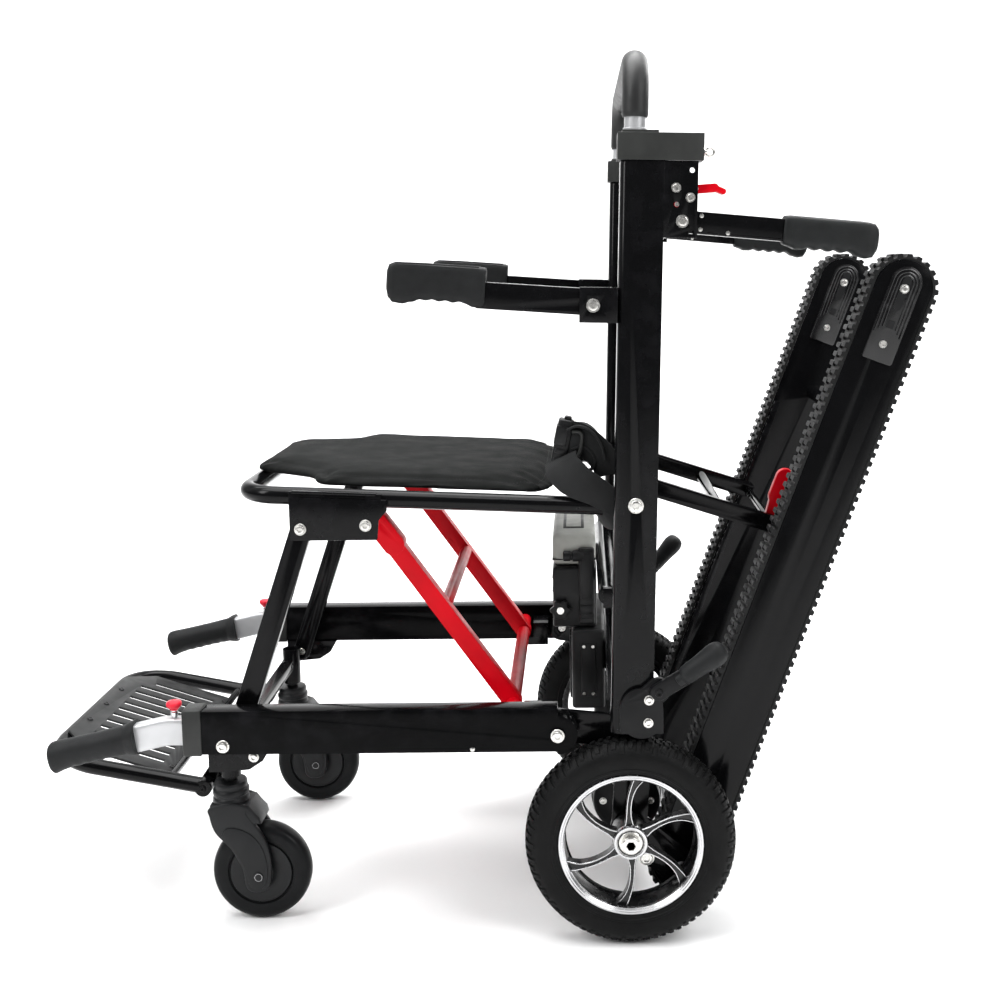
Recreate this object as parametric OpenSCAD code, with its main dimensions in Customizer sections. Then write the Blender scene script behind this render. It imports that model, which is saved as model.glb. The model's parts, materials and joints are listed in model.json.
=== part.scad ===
// Stair climbing wheelchair with fold-out crawler tracks.
// The chair faces -X, +Z is up, the floor is Z = 0 and Y = 0 is the mirror plane.
// Work coordinates put the rear axle at X = 0; shift_x moves the whole chair so
// that the origin is the middle of its footprint. Left is the sitter's left (-Y).

/* [Overall] */
// Distance from the rear axle to the middle of the footprint
shift_x = 187.5; // [150:0.5:200]
// Lean of the back columns, degrees
lean = 1.4; // [0:0.1:2.5]
// Outer half width of the side rails
rail_out = 236; // [234:1:238]

/* [Rear wheels] */
// Rear tyre diameter
wheel_d = 257; // [240:1:260]
// Rear tyre width
tyre_w = 50; // [40:1:52]
// Half track of the rear wheels
wheel_y = 233; // [232:0.5:236]
// Rear axle diameter
axle_d = 16; // [12:1:18]

/* [Casters] */
// Caster wheel diameter
caster_d = 125; // [115:1:128]
// Caster wheel width
caster_w = 28; // [22:1:30]
// Half spacing of the casters
caster_y = 172; // [170:1:174]
// Trail of the casters
caster_trail = 37; // [30:1:40]

/* [Seat] */
// Tube diameter of the seat frame
seat_tube = 22; // [18:1:22]
// Half spacing of the seat side tubes
seat_y = 191; // [189:1:191]
// Depth from the seat pivot to the front tube
seat_depth = 478; // [460:1:490]
// Seat tilt, degrees
seat_tilt = 2.5; // [1.5:0.1:3]

/* [Tracks] */
// Lean of the deployed tracks, degrees
track_lean = 20.4; // [18:0.1:22]
// Distance between the track pulley centres
track_len = 766; // [740:1:780]
// Outer radius of the track belt
belt_r = 42; // [40:0.5:42]
// Belt width
belt_w = 44; // [40:1:46]
// Half spacing of the tracks
track_y = 168; // [167:0.5:169]

/* [Handles] */
// Tube diameter of the push handle
push_d = 25; // [22:0.5:26]
// Height of the push handle above the column caps, lowered
push_h = 99; // [96:1:130]
// Diameter of the front carry grips
carry_d = 36; // [30:1:36]

/* [Hidden] */
$fn = 48;

r_w = wheel_d / 2;
// column foot, and the pivots of the folding frame
foot = [2, 262];
function col_pt(x, z) = [foot[0] + x * cos(lean) + z * sin(lean), foot[1] - x * sin(lean) + z * cos(lean)];
p_seat = col_pt(0, 279);
seat_o = col_pt(0, 268);
p_rail = [-87, 260];
p_leg = [-395, 510];
p_foot = [p_leg[0] + p_rail[0] - p_seat[0], p_leg[1] + p_rail[1] - p_seat[1]];
p_brace = [-316, 514];
p_saddle = [-144, 272];
p_arm = col_pt(-54, 514);
p_grip = col_pt(47, 612);
p_link = [25, 544];
p_drive = [65, 73];
p_lever = [34, 318];
p_caster = [-503, 62.5];
caster_ax = [p_caster[0] + caster_trail, caster_d / 2];
p_flip = [-538.5, 169];
foot_y = 165;
foot_l = 203;
foot_r = 62;
rail_w = 26;
rail_mid = rail_out - rail_w / 2;
col_y = 222;
col_w = 34;
col_d = 51;
col_h = 681;
leg_y = 197;
brace_y = 152;
arm_y = 227;
link_y = 118;
// track direction and the place of the link pin on it
link_z = 435;
link_x = -30;
function trk_pt(x, z) = [p_drive[0] + x * cos(track_lean) + z * sin(track_lean), p_drive[1] - x * sin(track_lean) + z * cos(track_lean)];
p_pin = trk_pt(link_x, link_z);

module place() translate([shift_x, 0, 0]) children();
module both() { children(); mirror([0, 1, 0]) children(); }
// a part drawn for the left (-Y) side, put on side s (-1 left, 1 right)
module side(s) { if (s < 0) children(); else mirror([0, 1, 0]) children(); }
module on_col() translate([foot[0], 0, foot[1]]) rotate([0, lean, 0]) children();
module on_seat() translate([seat_o[0], 0, seat_o[1]]) rotate([0, seat_tilt, 0]) children();
module on_track() translate([p_drive[0], 0, p_drive[1]]) rotate([0, track_lean, 0]) children();
// cylinder along Y from y0 to y1 at (x, z)
module ycyl(p, y0, y1, d) translate([p[0], min(y0, y1), p[1]]) rotate([-90, 0, 0]) cylinder(d = d, h = abs(y1 - y0));
// box by its low and high corners
module bx(a, b) translate(a) cube([b[0] - a[0], b[1] - a[1], b[2] - a[2]]);
// cylinder along X
module xrod(x0, x1, y, z, d) translate([x0, y, z]) rotate([0, 90, 0]) cylinder(d = d, h = x1 - x0);
// round rod between two points
module rod(a, b, d) {
  v = b - a; l = norm(v);
  translate(a) rotate([0, acos(v[2] / l), atan2(v[1], v[0])]) cylinder(d = d, h = l);
}
// flat plate outline drawn in X-Z, from y0 to y1
module xz(y0, y1) translate([0, max(y0, y1), 0]) rotate([90, 0, 0]) linear_extrude(abs(y1 - y0)) children();
// round-ended bar outline between two points of the X-Z plane
module bar2(a, b, w) {
  v = b - a;
  translate(a) circle(d = w);
  translate(b) circle(d = w);
  translate(a) rotate(atan2(v[1], v[0])) translate([0, -w / 2 + 0.03]) square([norm(v), w - 0.06]);
}
// hex-socket bolt head on the -Y face at y
module bolt(p, y, d = 12, h = 4) ycyl(p, y, y - h, d);

// ---------------------------------------------------------------- chassis
module col_tube() difference() {
  union() {
    bx([-col_d / 2 + 9, -col_y - col_w / 2, 0], [col_d / 2, -col_y + col_w / 2, col_h]);
    translate([-col_d / 2 + 9, -col_y - col_w / 2 + 9, 0]) cylinder(r = 9, h = col_h);
    translate([-col_d / 2 + 9, -col_y + col_w / 2 - 9, 0]) cylinder(r = 9, h = col_h);
    bx([-col_d / 2, -col_y - col_w / 2 + 9, 0], [0, -col_y + col_w / 2 - 9, col_h]);
  }
  bx([-col_d / 2 + 3.5, -col_y - 14, -1], [col_d / 2 - 3, -col_y + 14, col_h + 1]);
}
module columns() color("#141516") place() both() difference() {
  on_col() col_tube();
  ycyl(p_seat, -250, -190, 12);
}
module column_caps() color("#3b3d40") place() both() on_col() difference() {
  union() {
    bx([-29, -col_y - 19, col_h + 0.02], [70, -col_y + 19, col_h + 31]);
    bx([-24, -col_y - 17, col_h + 31], [18, -col_y + 17, col_h + 34]);
  }
  translate([-9, -col_y, col_h - 1]) cylinder(d = push_d + 0.4, h = 60);
}
module cross_tubes() color("#17181a") place() {
  ycyl(p_link, -177, 177, 16);
  ycyl(p_link, -col_y + col_w / 2 + 0.02, col_y - col_w / 2 - 0.02, 11);
  ycyl([-23.9, 420], -col_y + col_w / 2 + 14, col_y - col_w / 2 - 14, 24);
  both() bx([-30, -col_y + col_w / 2 + 0.02, 408], [6, -col_y + col_w / 2 + 14, 432]);
  bx([-26, -col_y + col_w / 2 + 0.02, 292], [-19, col_y - col_w / 2 - 0.02, 332]);
  ycyl(col_pt(8, 640), -col_y + col_w / 2 + 0.02, col_y - col_w / 2 - 0.02, 20);
}
module axle_plates() color("#1b1c1e") place() both() difference() {
  union() {
    xz(-205, -197) {
      bar2(p_rail, [10, 250], 40);
      bar2([10, 290], [0, r_w], 44);
      bar2([0, r_w], p_drive, 46);
      bar2([10, 325], [10, 270], 34);
    }
    ycyl([0, r_w], -197, -188, 34);
  }
  ycyl([0, r_w], -230, -150, axle_d + 0.06);
  ycyl(p_drive, -230, -150, 20.1);
  ycyl(p_rail, -230, -150, 12);
}
module lever_brackets() color("#2a2c2e") place() both() difference() {
  xz(-245, -col_y - col_w / 2 - 0.02) {
    bar2([14, 294], [14, 284], 52);
    bar2([14, 300], p_lever, 30);
    translate([-12, 264]) square([52, 20]);
  }
  ycyl(p_lever, -260, -230, 10);
}
module rear_axle() color("silver") place() ycyl([0, r_w], -254, 254, axle_d);
module motor_housing() color("#1c1d1f") place() difference() {
  union() {
    bx([-70, -92, 238], [-26.02, 92, 346]);
    ycyl([0, r_w], -130, 130, 92);
    bx([-40, -60, r_w], [10, 60, 240]);
  }
  ycyl([0, r_w], -200, 200, axle_d + 0.06);
}
module battery_case() color("#202224") place() {
  bx([-94, -84, 347], [-36.5, 84, 428]);
  both() bx([-66, -84, 427], [-40, -78.1, 454]);
  // clamp knobs on the side faces
  both() ycyl([-84, 373], -83, -96, 28);
}
module battery_lid() color("#9a9c9a") place() bx([-94, -78, 428.5], [-37, 78, 472]);
module back_sling() color("#1d1f20") place() on_col() bx([6, -col_y + col_w / 2 + 1, 310], [12, col_y - col_w / 2 - 1, 620]);
module handle_plates() color("#17181a") place() both() on_col() difference() {
  union() {
    bx([25.52, -col_y - 17, 593], [64, -col_y - 13, 680.5]);
    bx([25.52, -col_y - 13.1, 593], [29.5, -col_y + 15, 680.5]);
  }
  ycyl([47, 612], -300, -100, 11);
  ycyl([57, 670], -300, -100, 6);
  ycyl([40, 631], -300, -100, 6);
  ycyl([57, 600], -300, -100, 6);
}
module armrest_clamps() color("#1a1b1d") place() both() difference() {
  on_col() difference() {
    bx([-70, -arm_y - 14, 494], [-25.52, -arm_y + 12, 535]);
    bx([-71, -arm_y - 10.4, 480], [-34, -arm_y + 10.4, 550]);
  }
  ycyl(p_arm, -260, -200, 10);
}
module chassis_bolts() color("#b9bcc0") place() both() {
  // pivots of the seat, the rails and the armrests
  ycyl(p_seat, -183, -col_y - col_w / 2 - 4, 11.9);
  ycyl(p_seat, -col_y - col_w / 2 - 0.1, -col_y - col_w / 2 - 4.5, 18);
  ycyl(p_rail, -197, -238.6, 11.9);
  ycyl(p_rail, -238.4, -242, 17);
  ycyl(p_arm, -arm_y + 12, -arm_y - 14, 9.9);
  ycyl(p_arm, -arm_y - 14.1, -arm_y - 18, 16);
  // lever bracket bolts, one of them carrying the lever
  ycyl(p_lever, -245, -257.5, 9.9);
  bolt([23, 306], -245.02, 11);
  bolt([22, 278], -245.02, 11);
  bolt([21, 89], -205.02, 20, 5);
  // handle plates, latch pivot and eye bolt
  on_col() {
    ycyl([47, 612], -col_y - 17.02, -col_y - 22, 15);
    ycyl([47, 612], -col_y - 17.02, -col_y + 17, 10.9);
    bolt([39, 650], -col_y - 17.02, 11);
    bolt([55.5, 639], -col_y - 17.02, 11);
    ycyl([62, 649], -col_y - 12.98, -col_y + 9, 5.9);
    ycyl([78.5, 692], -col_y - 3, -col_y + 3, 12);
    translate([70.02, -col_y, 692]) rotate([0, 90, 0]) cylinder(d = 5, h = 4);
  }
}

// ---------------------------------------------------------------- push handle
push_b = 46;
push_z = col_h + 34 + push_h - 17 - push_b;
module push_handle_tube() color("#c9ccd0") place() both() on_col()
  translate([-9, -col_y, 420]) cylinder(d = push_d, h = push_z - 420 - 4);
module push_handle_sleeve() color("#2b2d30") place() on_col() {
  both() {
    difference() {
      translate([-9, -col_y, col_h + 49]) cylinder(d = 31, h = push_z - col_h - 49);
      translate([-9, -col_y, col_h]) cylinder(d = push_d + 0.06, h = push_z - 4 - col_h);
    }
    translate([-9, -col_y + push_b, push_z]) rotate([90, 0, -90]) rotate([0, 0, 0])
      rotate_extrude(angle = 90) translate([push_b, 0]) circle(d = 31);
  }
  translate([-9, 0, push_z + push_b]) rotate([90, 0, 0]) translate([0, 0, -(col_y - push_b)]) cylinder(d = 31, h = 2 * (col_y - push_b));
}

// ---------------------------------------------------------------- armrests
arm_tilt = 4.2;
module on_arm() translate([p_arm[0], -arm_y, p_arm[1]]) rotate([0, arm_tilt, 0]) children();
module armrest_bar(s) color("#1a1b1d") place() side(s) on_arm() difference() {
  union() {
    bx([-136, -10, -12], [0, 10, 19]);
    bx([-208, -7, -4], [-136, 7, 19]);
    translate([0, -10, 0]) rotate([-90, 0, 0]) cylinder(d = 24, h = 20);
  }
  translate([0, -20, 0]) rotate([-90, 0, 0]) cylinder(d = 10, h = 40);
  bx([-12, -20, 12], [20, 20, 30]);
}
module armrest_grip(s) color("#2c2e31") place() side(s) on_arm() difference() {
  union() {
    bx([-241, -13, -9], [-126, 13, 36]);
    bx([-237, -9, -13], [-213, 9, -9]);
  }
  bx([-208.3, -7, -4], [-116, 7, 19]);
  bx([-136, -10.2, -14], [-116, 10.2, 19.2]);
}

// ---------------------------------------------------------------- rear handles
grip_tilt = 5.5;
module on_grip() translate([p_grip[0], -col_y, p_grip[1]]) rotate([0, grip_tilt, 0]) children();
module rear_handle_bar(s) color("#1a1b1d") place() side(s) on_grip() difference() {
  union() {
    bx([0, -11, -13], [118, 11, 13]);
    translate([0, -11, 0]) rotate([-90, 0, 0]) cylinder(d = 26, h = 22);
    bx([118, -7, -9], [200, 7, 9]);
  }
  translate([0, -20, 0]) rotate([-90, 0, 0]) cylinder(d = 11, h = 40);
}
module rear_handle_grip(s) color("#3a3d41") place() side(s) on_grip() difference() {
  union() {
    bx([118.1, -15, -17], [229, 15, 18]);
    bx([204, -11, -25], [226, 11, -17]);
    bx([126, -12, -22], [204, 12, -17]);
  }
  bx([110, -7, -9], [200.2, 7, 9]);
}
module handle_latch(s) color("#c4151d") place() side(s) on_col() difference() {
  union() {
    xz(-col_y - 8, -col_y + 8) { bar2([62, 649], [84, 651], 10); bar2([84, 651], [94, 647], 7); }
  }
  ycyl([62, 649], -300, -100, 6);
}

// ---------------------------------------------------------------- brake levers
lever_up = 14; // [0:0.5:22]
module brake_lever(s) color("#2f3235") place() side(s)
  translate([p_lever[0], 0, p_lever[1]]) rotate([0, s > 0 ? -lever_up : 0, 0]) translate([-p_lever[0], 0, -p_lever[1]]) difference() {
    union() {
      xz(-254, -245.6) bar2(p_lever, [64, 336], 20);
      rod([56, -250, 331], [100, -250, 362], 17);
      rod([66, -250, 338], [101, -250, 363], 25);
      translate([101, -250, 363]) sphere(d = 29);
    }
    ycyl(p_lever, -270, -230, 10);
  }

// ---------------------------------------------------------------- rear wheels
module rear_tyre(s) color("#1e1f21") place() side(s)
  translate([0, -wheel_y, r_w]) rotate([90, 0, 0]) rotate_extrude($fn = 96) difference() {
    union() {
      translate([r_w - tyre_w / 2 + 1, 0]) circle(d = tyre_w - 2);
      translate([r_w - 16, -tyre_w / 2 + 8]) square([16, tyre_w - 16]);
      translate([86, -tyre_w / 2 + 4]) square([24, tyre_w - 8]);
    }
    translate([0, -50]) square([88.02, 100]);
    translate([r_w, -50]) square([20, 100]);
  }
module rear_rim(s) color("#a9adb2") place() side(s)
  translate([0, -wheel_y, r_w]) rotate([90, 0, 0]) difference() {
    union() {
      rotate_extrude($fn = 96) { translate([80, -19]) square([8, 38]); translate([77, 17]) square([11, 4]); translate([77, -21]) square([11, 4]); }
      translate([0, 0, -24]) cylinder(d = 44, h = 40);
      translate([0, 0, 16]) cylinder(d = 28, h = 8);
      for (i = [0:5]) rotate(i * 60) translate([18, -5, -4]) cube([64, 10, 14]);
    }
    translate([0, 0, -25]) cylinder(d = axle_d + 0.06, h = 46.05);
  }

// ---------------------------------------------------------------- base frame
module side_rails() color("#141516") place() both() difference() {
  union() {
    bx([-517.5, -rail_out, 239.5], [p_rail[0], -rail_out + rail_w, 293]);
    xz(-rail_out, -rail_out + rail_w) intersection() {
      translate(p_rail) circle(r = 24);
      translate([p_rail[0], 230]) square([40, 60]);
    }
  }
  bx([-530, -rail_out + 2.5, 243], [-280, -rail_out + rail_w - 2.5, 289.5]);
  ycyl(p_rail, -260, -190, 12);
}
module rail_caps() color("#1a1b1d") place() both() difference() {
  bx([-540, -rail_out - 1.5, 237.5], [-517.52, -rail_out + rail_w + 1.5, 295]);
  bx([-545, -rail_mid - 9.3, 248.2], [-510, -rail_mid + 9.3, 282.8]);
}
module caster_brackets() color("#17181a") place() {
  both() difference() {
    union() {
      // gusset under the rail, bridge and caster post
      xz(-214, -206.95) polygon([[-517, 239.45], [-440, 239.45], [-450, 222], [-467, 211], [-500, 208], [-517, 208]]);
      bx([-516, -214, 208], [-504, -caster_y, 222]);
      translate([p_caster[0], -caster_y, 187]) cylinder(d = 26, h = 52.4);
      // ear of the footrest hinge
      xz(-foot_y + 10, -foot_y + 16) bar2(p_flip, [-506, 217], 19);
      bx([-514, -caster_y, 210], [-498, -100, 224]);
    }
    translate([p_caster[0], -caster_y, 170]) cylinder(d = 16.1, h = 80);
    ycyl(p_flip, -180, -100, 8);
    ycyl(p_foot, -206.94, -187, 28);
  }
  bx([-514, -100, 210], [-498, 100, 224]);
  // saddles that carry the lower cross tube of the brace
  both() difference() {
    xz(-rail_out + rail_w, -165) {
      translate([p_saddle[0] + 2, 244]) square([34, 12]);
      translate([p_saddle[0] + 14, 244]) square([22, 34]);
    }
    ycyl(p_saddle, -240, -100, 20);
  }
}
module base_bolts() color("#b9bcc0") place() both() {
  bolt([-492, 249.5], -rail_out - 0.02, 15, 5);
  bolt([-461, 227], -214.02, 12, 4);
  ycyl(p_foot, -206.5, -187.2, 9.9);
  ycyl(p_flip, -foot_y - 8, -foot_y + 16.5, 7.9);
  bolt([-190, 243.5], -rail_out - 0.02, 6, 2);
}

// ---------------------------------------------------------------- carry grips
carry_tilt = 13;
carry_bend = [-566, 265.5];
module carry_tube(s) color("#c4c7cb") place() side(s) difference() {
  union() {
    bx([-566, -rail_mid - 9, 248.5], [-330, -rail_mid + 9, 282.5]);
    translate([carry_bend[0], -rail_mid, carry_bend[1]]) rotate([0, -carry_tilt, 0]) bx([-34, -9, -16.5], [4, 9, 16.5]);
    translate([carry_bend[0], -rail_mid, carry_bend[1]]) rotate([0, -carry_tilt, 0]) bx([-120, -7, -9], [-33.9, 7, 9]);
  }
  translate([-553, -rail_mid, 260]) cylinder(d = 7.1, h = 40);
}
module carry_grip(s) color("#303236") place() side(s)
  translate([carry_bend[0], -rail_mid, carry_bend[1]]) rotate([0, -carry_tilt, 0]) difference() {
    union() {
      translate([-34.1, 0, 0]) rotate([0, -90, 0]) cylinder(d = carry_d, h = 103);
      translate([-34.1, 0, 0]) rotate([0, -90, 0]) cylinder(d = carry_d + 4, h = 9);
      translate([-136, 0, -3]) rotate([0, -90, 0]) cylinder(d = carry_d + 3, h = 9);
    }
    bx([-120.2, -7, -9], [-30, 7, 9]);
  }
module carry_knob(s) color("#c4151d") place() side(s) {
  translate([-553, -rail_mid, 266]) cylinder(d = 7, h = 28);
  translate([-553, -rail_mid, 283]) cylinder(d = 9, h = 9);
  translate([-553, -rail_mid, 292]) cylinder(d1 = 12, d2 = 19, h = 5);
  translate([-553, -rail_mid, 297]) cylinder(d = 19, h = 6);
}

// ---------------------------------------------------------------- footrest
foot_tilt = 11;
plate_tilt = 7;
module on_foot() translate([p_flip[0], 0, p_flip[1]]) rotate([0, foot_tilt, 0]) children();
module footrest_frame() color("#1a1b1d") place() on_foot() {
  both() {
    difference() {
      union() {
        xrod(-foot_l + foot_r, -4, -foot_y, 0, 20);
        translate([0, -foot_y - 9, 0]) rotate([-90, 0, 0]) cylinder(d = 21, h = 18);
      }
      translate([0, -foot_y - 20, 0]) rotate([-90, 0, 0]) cylinder(d = 8, h = 60);
    }
    translate([-foot_l + foot_r, -foot_y + foot_r, 0]) rotate([0, 0, 180]) rotate_extrude(angle = 90) translate([foot_r, 0]) circle(d = 20);
  }
  ycyl([-foot_l, 0], -foot_y + foot_r, foot_y - foot_r, 20);
  ycyl([-46, 0], -foot_y + 5, foot_y - 5, 10);
}
module footrest_plate() color("#4a4d50") place() on_foot() translate([-foot_l, 0, 13.5]) rotate([0, plate_tilt, 0]) difference() {
  translate([0, 0, -3.2]) linear_extrude(3.4) polygon([[1, -104], [37, -138], [160, -138], [160, 138], [37, 138], [1, 104]]);
  for (i = [-5:5]) translate([30 + (abs(i) > 4 ? 16 : 0), i * 22 - 3.5, -10]) cube([104 - (abs(i) > 4 ? 16 : 0), 7, 20]);
}

// ---------------------------------------------------------------- casters
module caster_fork(s) color("#3c3f43") place() side(s) {
  translate([p_caster[0], -caster_y, 170]) cylinder(d = 16, h = 62);
  difference() {
    union() {
      translate([p_caster[0], -caster_y, 148]) cylinder(d = 46, h = 24);
      translate([p_caster[0], -caster_y, 171]) cylinder(d = 41, h = 10);
      translate([0, -caster_y, 0]) xz(-24, 24) {
        bar2([p_caster[0] - 2, 134], [p_caster[0] + 8, 108], 40);
        bar2([p_caster[0] + 8, 108], [caster_ax[0] + 2, 84], 36);
        bar2([caster_ax[0] + 2, 84], [caster_ax[0], caster_ax[1] - 2], 34);
        bar2([p_caster[0] + 4, 136], [p_caster[0] + 30, 132], 28);
      }
    }
    translate([caster_ax[0], -caster_y, caster_ax[1]]) rotate([90, 0, 0]) translate([0, 0, -caster_w / 2 - 2]) cylinder(r = caster_d / 2 + 6, h = caster_w + 4);
    translate([0, -caster_y, 0]) ycyl(caster_ax, -40, 40, 9.9);
  }
  translate([0, -caster_y, 0]) ycyl(caster_ax, -26, 26, 9.9);
}
module caster_wheel(s) color("#35383b") place() side(s)
  translate([caster_ax[0], -caster_y, caster_ax[1]]) rotate([90, 0, 0]) rotate_extrude($fn = 64) difference() {
    union() {
      translate([5, -caster_w / 2]) square([caster_d / 2 - 12, caster_w]);
      translate([20, -caster_w / 2 + 6]) square([caster_d / 2 - 20, caster_w - 12]);
      translate([caster_d / 2 - 9, -caster_w / 2 + 9]) circle(r = 9);
      translate([caster_d / 2 - 9, caster_w / 2 - 9]) circle(r = 9);
    }
    translate([39, caster_w / 2 - 3]) square([3, 6]);
    translate([39, -caster_w / 2 - 3]) square([3, 6]);
  }

// ---------------------------------------------------------------- seat
sr = 42;
seat_eye = [norm(p_seat - seat_o) * sin(lean - seat_tilt), norm(p_seat - seat_o) * cos(lean - seat_tilt)];
module seat_frame() color("#17181a") place() on_seat() {
  both() {
    difference() {
      union() {
        xrod(-seat_depth + sr, -8, -seat_y, 0, seat_tube);
        xz(-seat_y - 10, -seat_y + 10) bar2([-24, 1], seat_eye, 20);
      }
      ycyl(seat_eye, -260, -100, 12);
    }
    translate([-seat_depth + sr, -seat_y + sr, 0]) rotate([0, 0, 180]) rotate_extrude(angle = 90) translate([sr, 0]) circle(d = seat_tube);
  }
  ycyl([-seat_depth, 0], -seat_y + sr, seat_y - sr, seat_tube);
  ycyl([-70, 0], -seat_y + 4, seat_y - 4, 18);
}
module seat_brackets() color("#17181a") place() both() {
  difference() {
    union() {
      xz(-209.4, -206.4) polygon([[-408, 496], [-302, 496], [-300, 520], [-290, 532], [-290, 545], [-408, 550]]);
      on_seat() bx([-418, -206.4, -8], [-306, -seat_y - 9, 8]);
    }
    on_seat() xrod(-seat_depth, 10, -seat_y, 0, seat_tube);
    ycyl(p_leg, -260, -100, 10);
    ycyl(p_brace, -260, -100, 10);
  }
  ycyl(p_leg, -209.42, -212.4, 14);
  ycyl(p_leg, -209.4, -187, 9.9);
  ycyl(p_brace, -209.42, -212.4, 14);
  ycyl(p_brace, -209.4, -143, 9.9);
}
module seat_sling() color("#26282a") place() on_seat() translate([0, 0, 11.4])
  linear_extrude(14.6) polygon([[-484, -108], [-394, -184], [-95, -184], [-95, 184], [-394, 184], [-484, 108]]);
module seat_belt() color("#232527") place() on_seat() both() {
  // strap round the seat tube, buckle and the tail that runs back to the column
  xz(-204.8, -202.6) polygon([[-73, 60], [-91, 18], [-71, -4], [-23, -11], [-22, 17]]);
  bx([-54, -204, 11.4], [-40, -190, 14]);
  bx([-86, -204.8, 46], [-74, -170, 58]);
  bx([-98, -181, 44], [-74, -150, 104]);
  bx([-75, -178, 66], [-36, -160, 92]);
}
module front_legs() color("#141516") place() both() difference() {
  xz(-leg_y - 9, -leg_y + 9) bar2(p_leg, p_foot, 26);
  ycyl(p_leg, -260, -100, 10);
  ycyl(p_foot, -260, -100, 10);
}
module red_brace() color("#c4151d") place() {
  both() difference() {
    union() {
      xz(-brace_y - 9, -brace_y + 9) bar2(p_brace, p_saddle, 22);
      xz(-brace_y - 11, -brace_y + 11) bar2(p_brace, [p_brace[0] + 26, p_brace[1] - 35], 27);
    }
    ycyl(p_brace, -260, -100, 10);
  }
  ycyl(p_saddle, -204, 204, 18);
  ycyl([p_brace[0] + 88, p_brace[1] - 117], -brace_y + 9, brace_y - 9, 16);
}

// ---------------------------------------------------------------- tracks
module stadium(r) {
  circle(r = r, $fn = 64);
  translate([0, track_len]) circle(r = r, $fn = 64);
  translate([-r, 0]) square([2 * r, track_len]);
}
module track_frames() color("#131415") place() on_track() {
  both() difference() {
    union() {
      xz(-track_y - 22, -track_y - 18.5) stadium(belt_r - 7.4);
      xz(-track_y + 18.5, -track_y + 22) stadium(belt_r - 7.4);
      xz(-track_y - 18.5, -track_y + 18.5) translate([-30, 40]) square([60, track_len - 80]);
      // guide for the link pin on the inner face
      xz(-track_y + 22, -track_y + 30) { translate([link_x - 4, 150]) square([8, 420]); }
    }
    xz(-track_y - 15.5, -track_y + 15.5) translate([-27, 20]) square([54, track_len - 40]);
    ycyl([0, 0], -300, -100, 20.1);
    ycyl([0, track_len], -300, -100, 12.1);
    for (z = [0, track_len]) ycyl([0, z], -track_y - 18.5, -track_y + 18.5, 2 * 36);
  }
  for (z = [170, 600]) ycyl([16, z], -track_y + 22, track_y - 22, 20);
}
module track_belts() color("#3a3c3e") place() on_track() both()
  xz(-track_y - belt_w / 2, -track_y + belt_w / 2) difference() { stadium(belt_r); stadium(belt_r - 7); }
module tensioner_plate(y0, y1) difference() {
  xz(y0, y1) {
    bar2([0, track_len - 78], [0, track_len + 8], 38);
    translate([-19, track_len - 92]) square([38, 20]);
  }
  ycyl([0, track_len], -300, -100, 12);
  xz(-300, -100) bar2([0, track_len + 14], [0, track_len - 22], 9);
  xz(-300, -100) translate([-4, track_len - 50]) square([8, 10]);
}
module tensioner_plates() color("#55585b") place() on_track() both() {
  tensioner_plate(-track_y - 26, -track_y - 22.02);
  tensioner_plate(-track_y + 22.02, -track_y + 26);
}
module track_drive() color("#6e7276") place() on_track() {
  ycyl([0, 0], -204.6, 204.6, 20);
  both() difference() {
    ycyl([0, 0], -track_y - 18.1, -track_y + 18.1, 2 * (belt_r - 7.4));
    ycyl([0, 0], -300, -100, 20);
  }
}
module track_idlers() color("#6e7276") place() on_track() both() {
  ycyl([0, track_len], -track_y - 18.1, -track_y + 18.1, 2 * (belt_r - 7.4));
  ycyl([0, track_len], -track_y - 22, -track_y + 22, 12);
}
module link_arms() color("#17181a") place() {
  both() difference() {
    xz(-link_y - 5, -link_y + 5) bar2(p_link, p_pin, 22);
    ycyl(p_link, -200, -50, 16.1);
    ycyl(p_pin, -200, -50, 10);
  }
  ycyl(p_link + 0.58 * (p_pin - p_link), -link_y + 5, link_y - 5, 14);
  ycyl(p_pin, -136, 136, 9.9);
}
module track_latch() color("#c4151d") place() difference() {
  translate([p_pin[0], 0, p_pin[1]]) rotate([0, track_lean - 6, 0]) union() {
    xz(-112.4, -101) { bar2([0, 0], [0, 34], 20); bar2([0, 34], [3, 60], 24); }
  }
  ycyl(p_pin, -200, -50, 10);
}

columns();
column_caps();
cross_tubes();
axle_plates();
lever_brackets();
rear_axle();
motor_housing();
battery_case();
battery_lid();
back_sling();
handle_plates();
armrest_clamps();
chassis_bolts();
push_handle_tube();
push_handle_sleeve();
armrest_bar(-1);  // armrest_bar_left
armrest_bar(1);  // armrest_bar_right
armrest_grip(-1);  // armrest_grip_left
armrest_grip(1);  // armrest_grip_right
rear_handle_bar(-1);  // rear_handle_bar_left
rear_handle_bar(1);  // rear_handle_bar_right
rear_handle_grip(-1);  // rear_handle_grip_left
rear_handle_grip(1);  // rear_handle_grip_right
handle_latch(-1);  // handle_latch_left
handle_latch(1);  // handle_latch_right
brake_lever(-1);  // brake_lever_left
brake_lever(1);  // brake_lever_right
rear_tyre(-1);  // rear_tyre_left
rear_tyre(1);  // rear_tyre_right
rear_rim(-1);  // rear_rim_left
rear_rim(1);  // rear_rim_right
side_rails();
rail_caps();
caster_brackets();
base_bolts();
carry_tube(-1);  // carry_tube_left
carry_tube(1);  // carry_tube_right
carry_grip(-1);  // carry_grip_left
carry_grip(1);  // carry_grip_right
carry_knob(-1);  // carry_knob_left
carry_knob(1);  // carry_knob_right
footrest_frame();
footrest_plate();
caster_fork(-1);  // caster_fork_left
caster_fork(1);  // caster_fork_right
caster_wheel(-1);  // caster_wheel_left
caster_wheel(1);  // caster_wheel_right
seat_frame();
seat_brackets();
seat_sling();
seat_belt();
front_legs();
red_brace();
track_frames();
track_belts();
tensioner_plates();
track_drive();
track_idlers();
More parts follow.
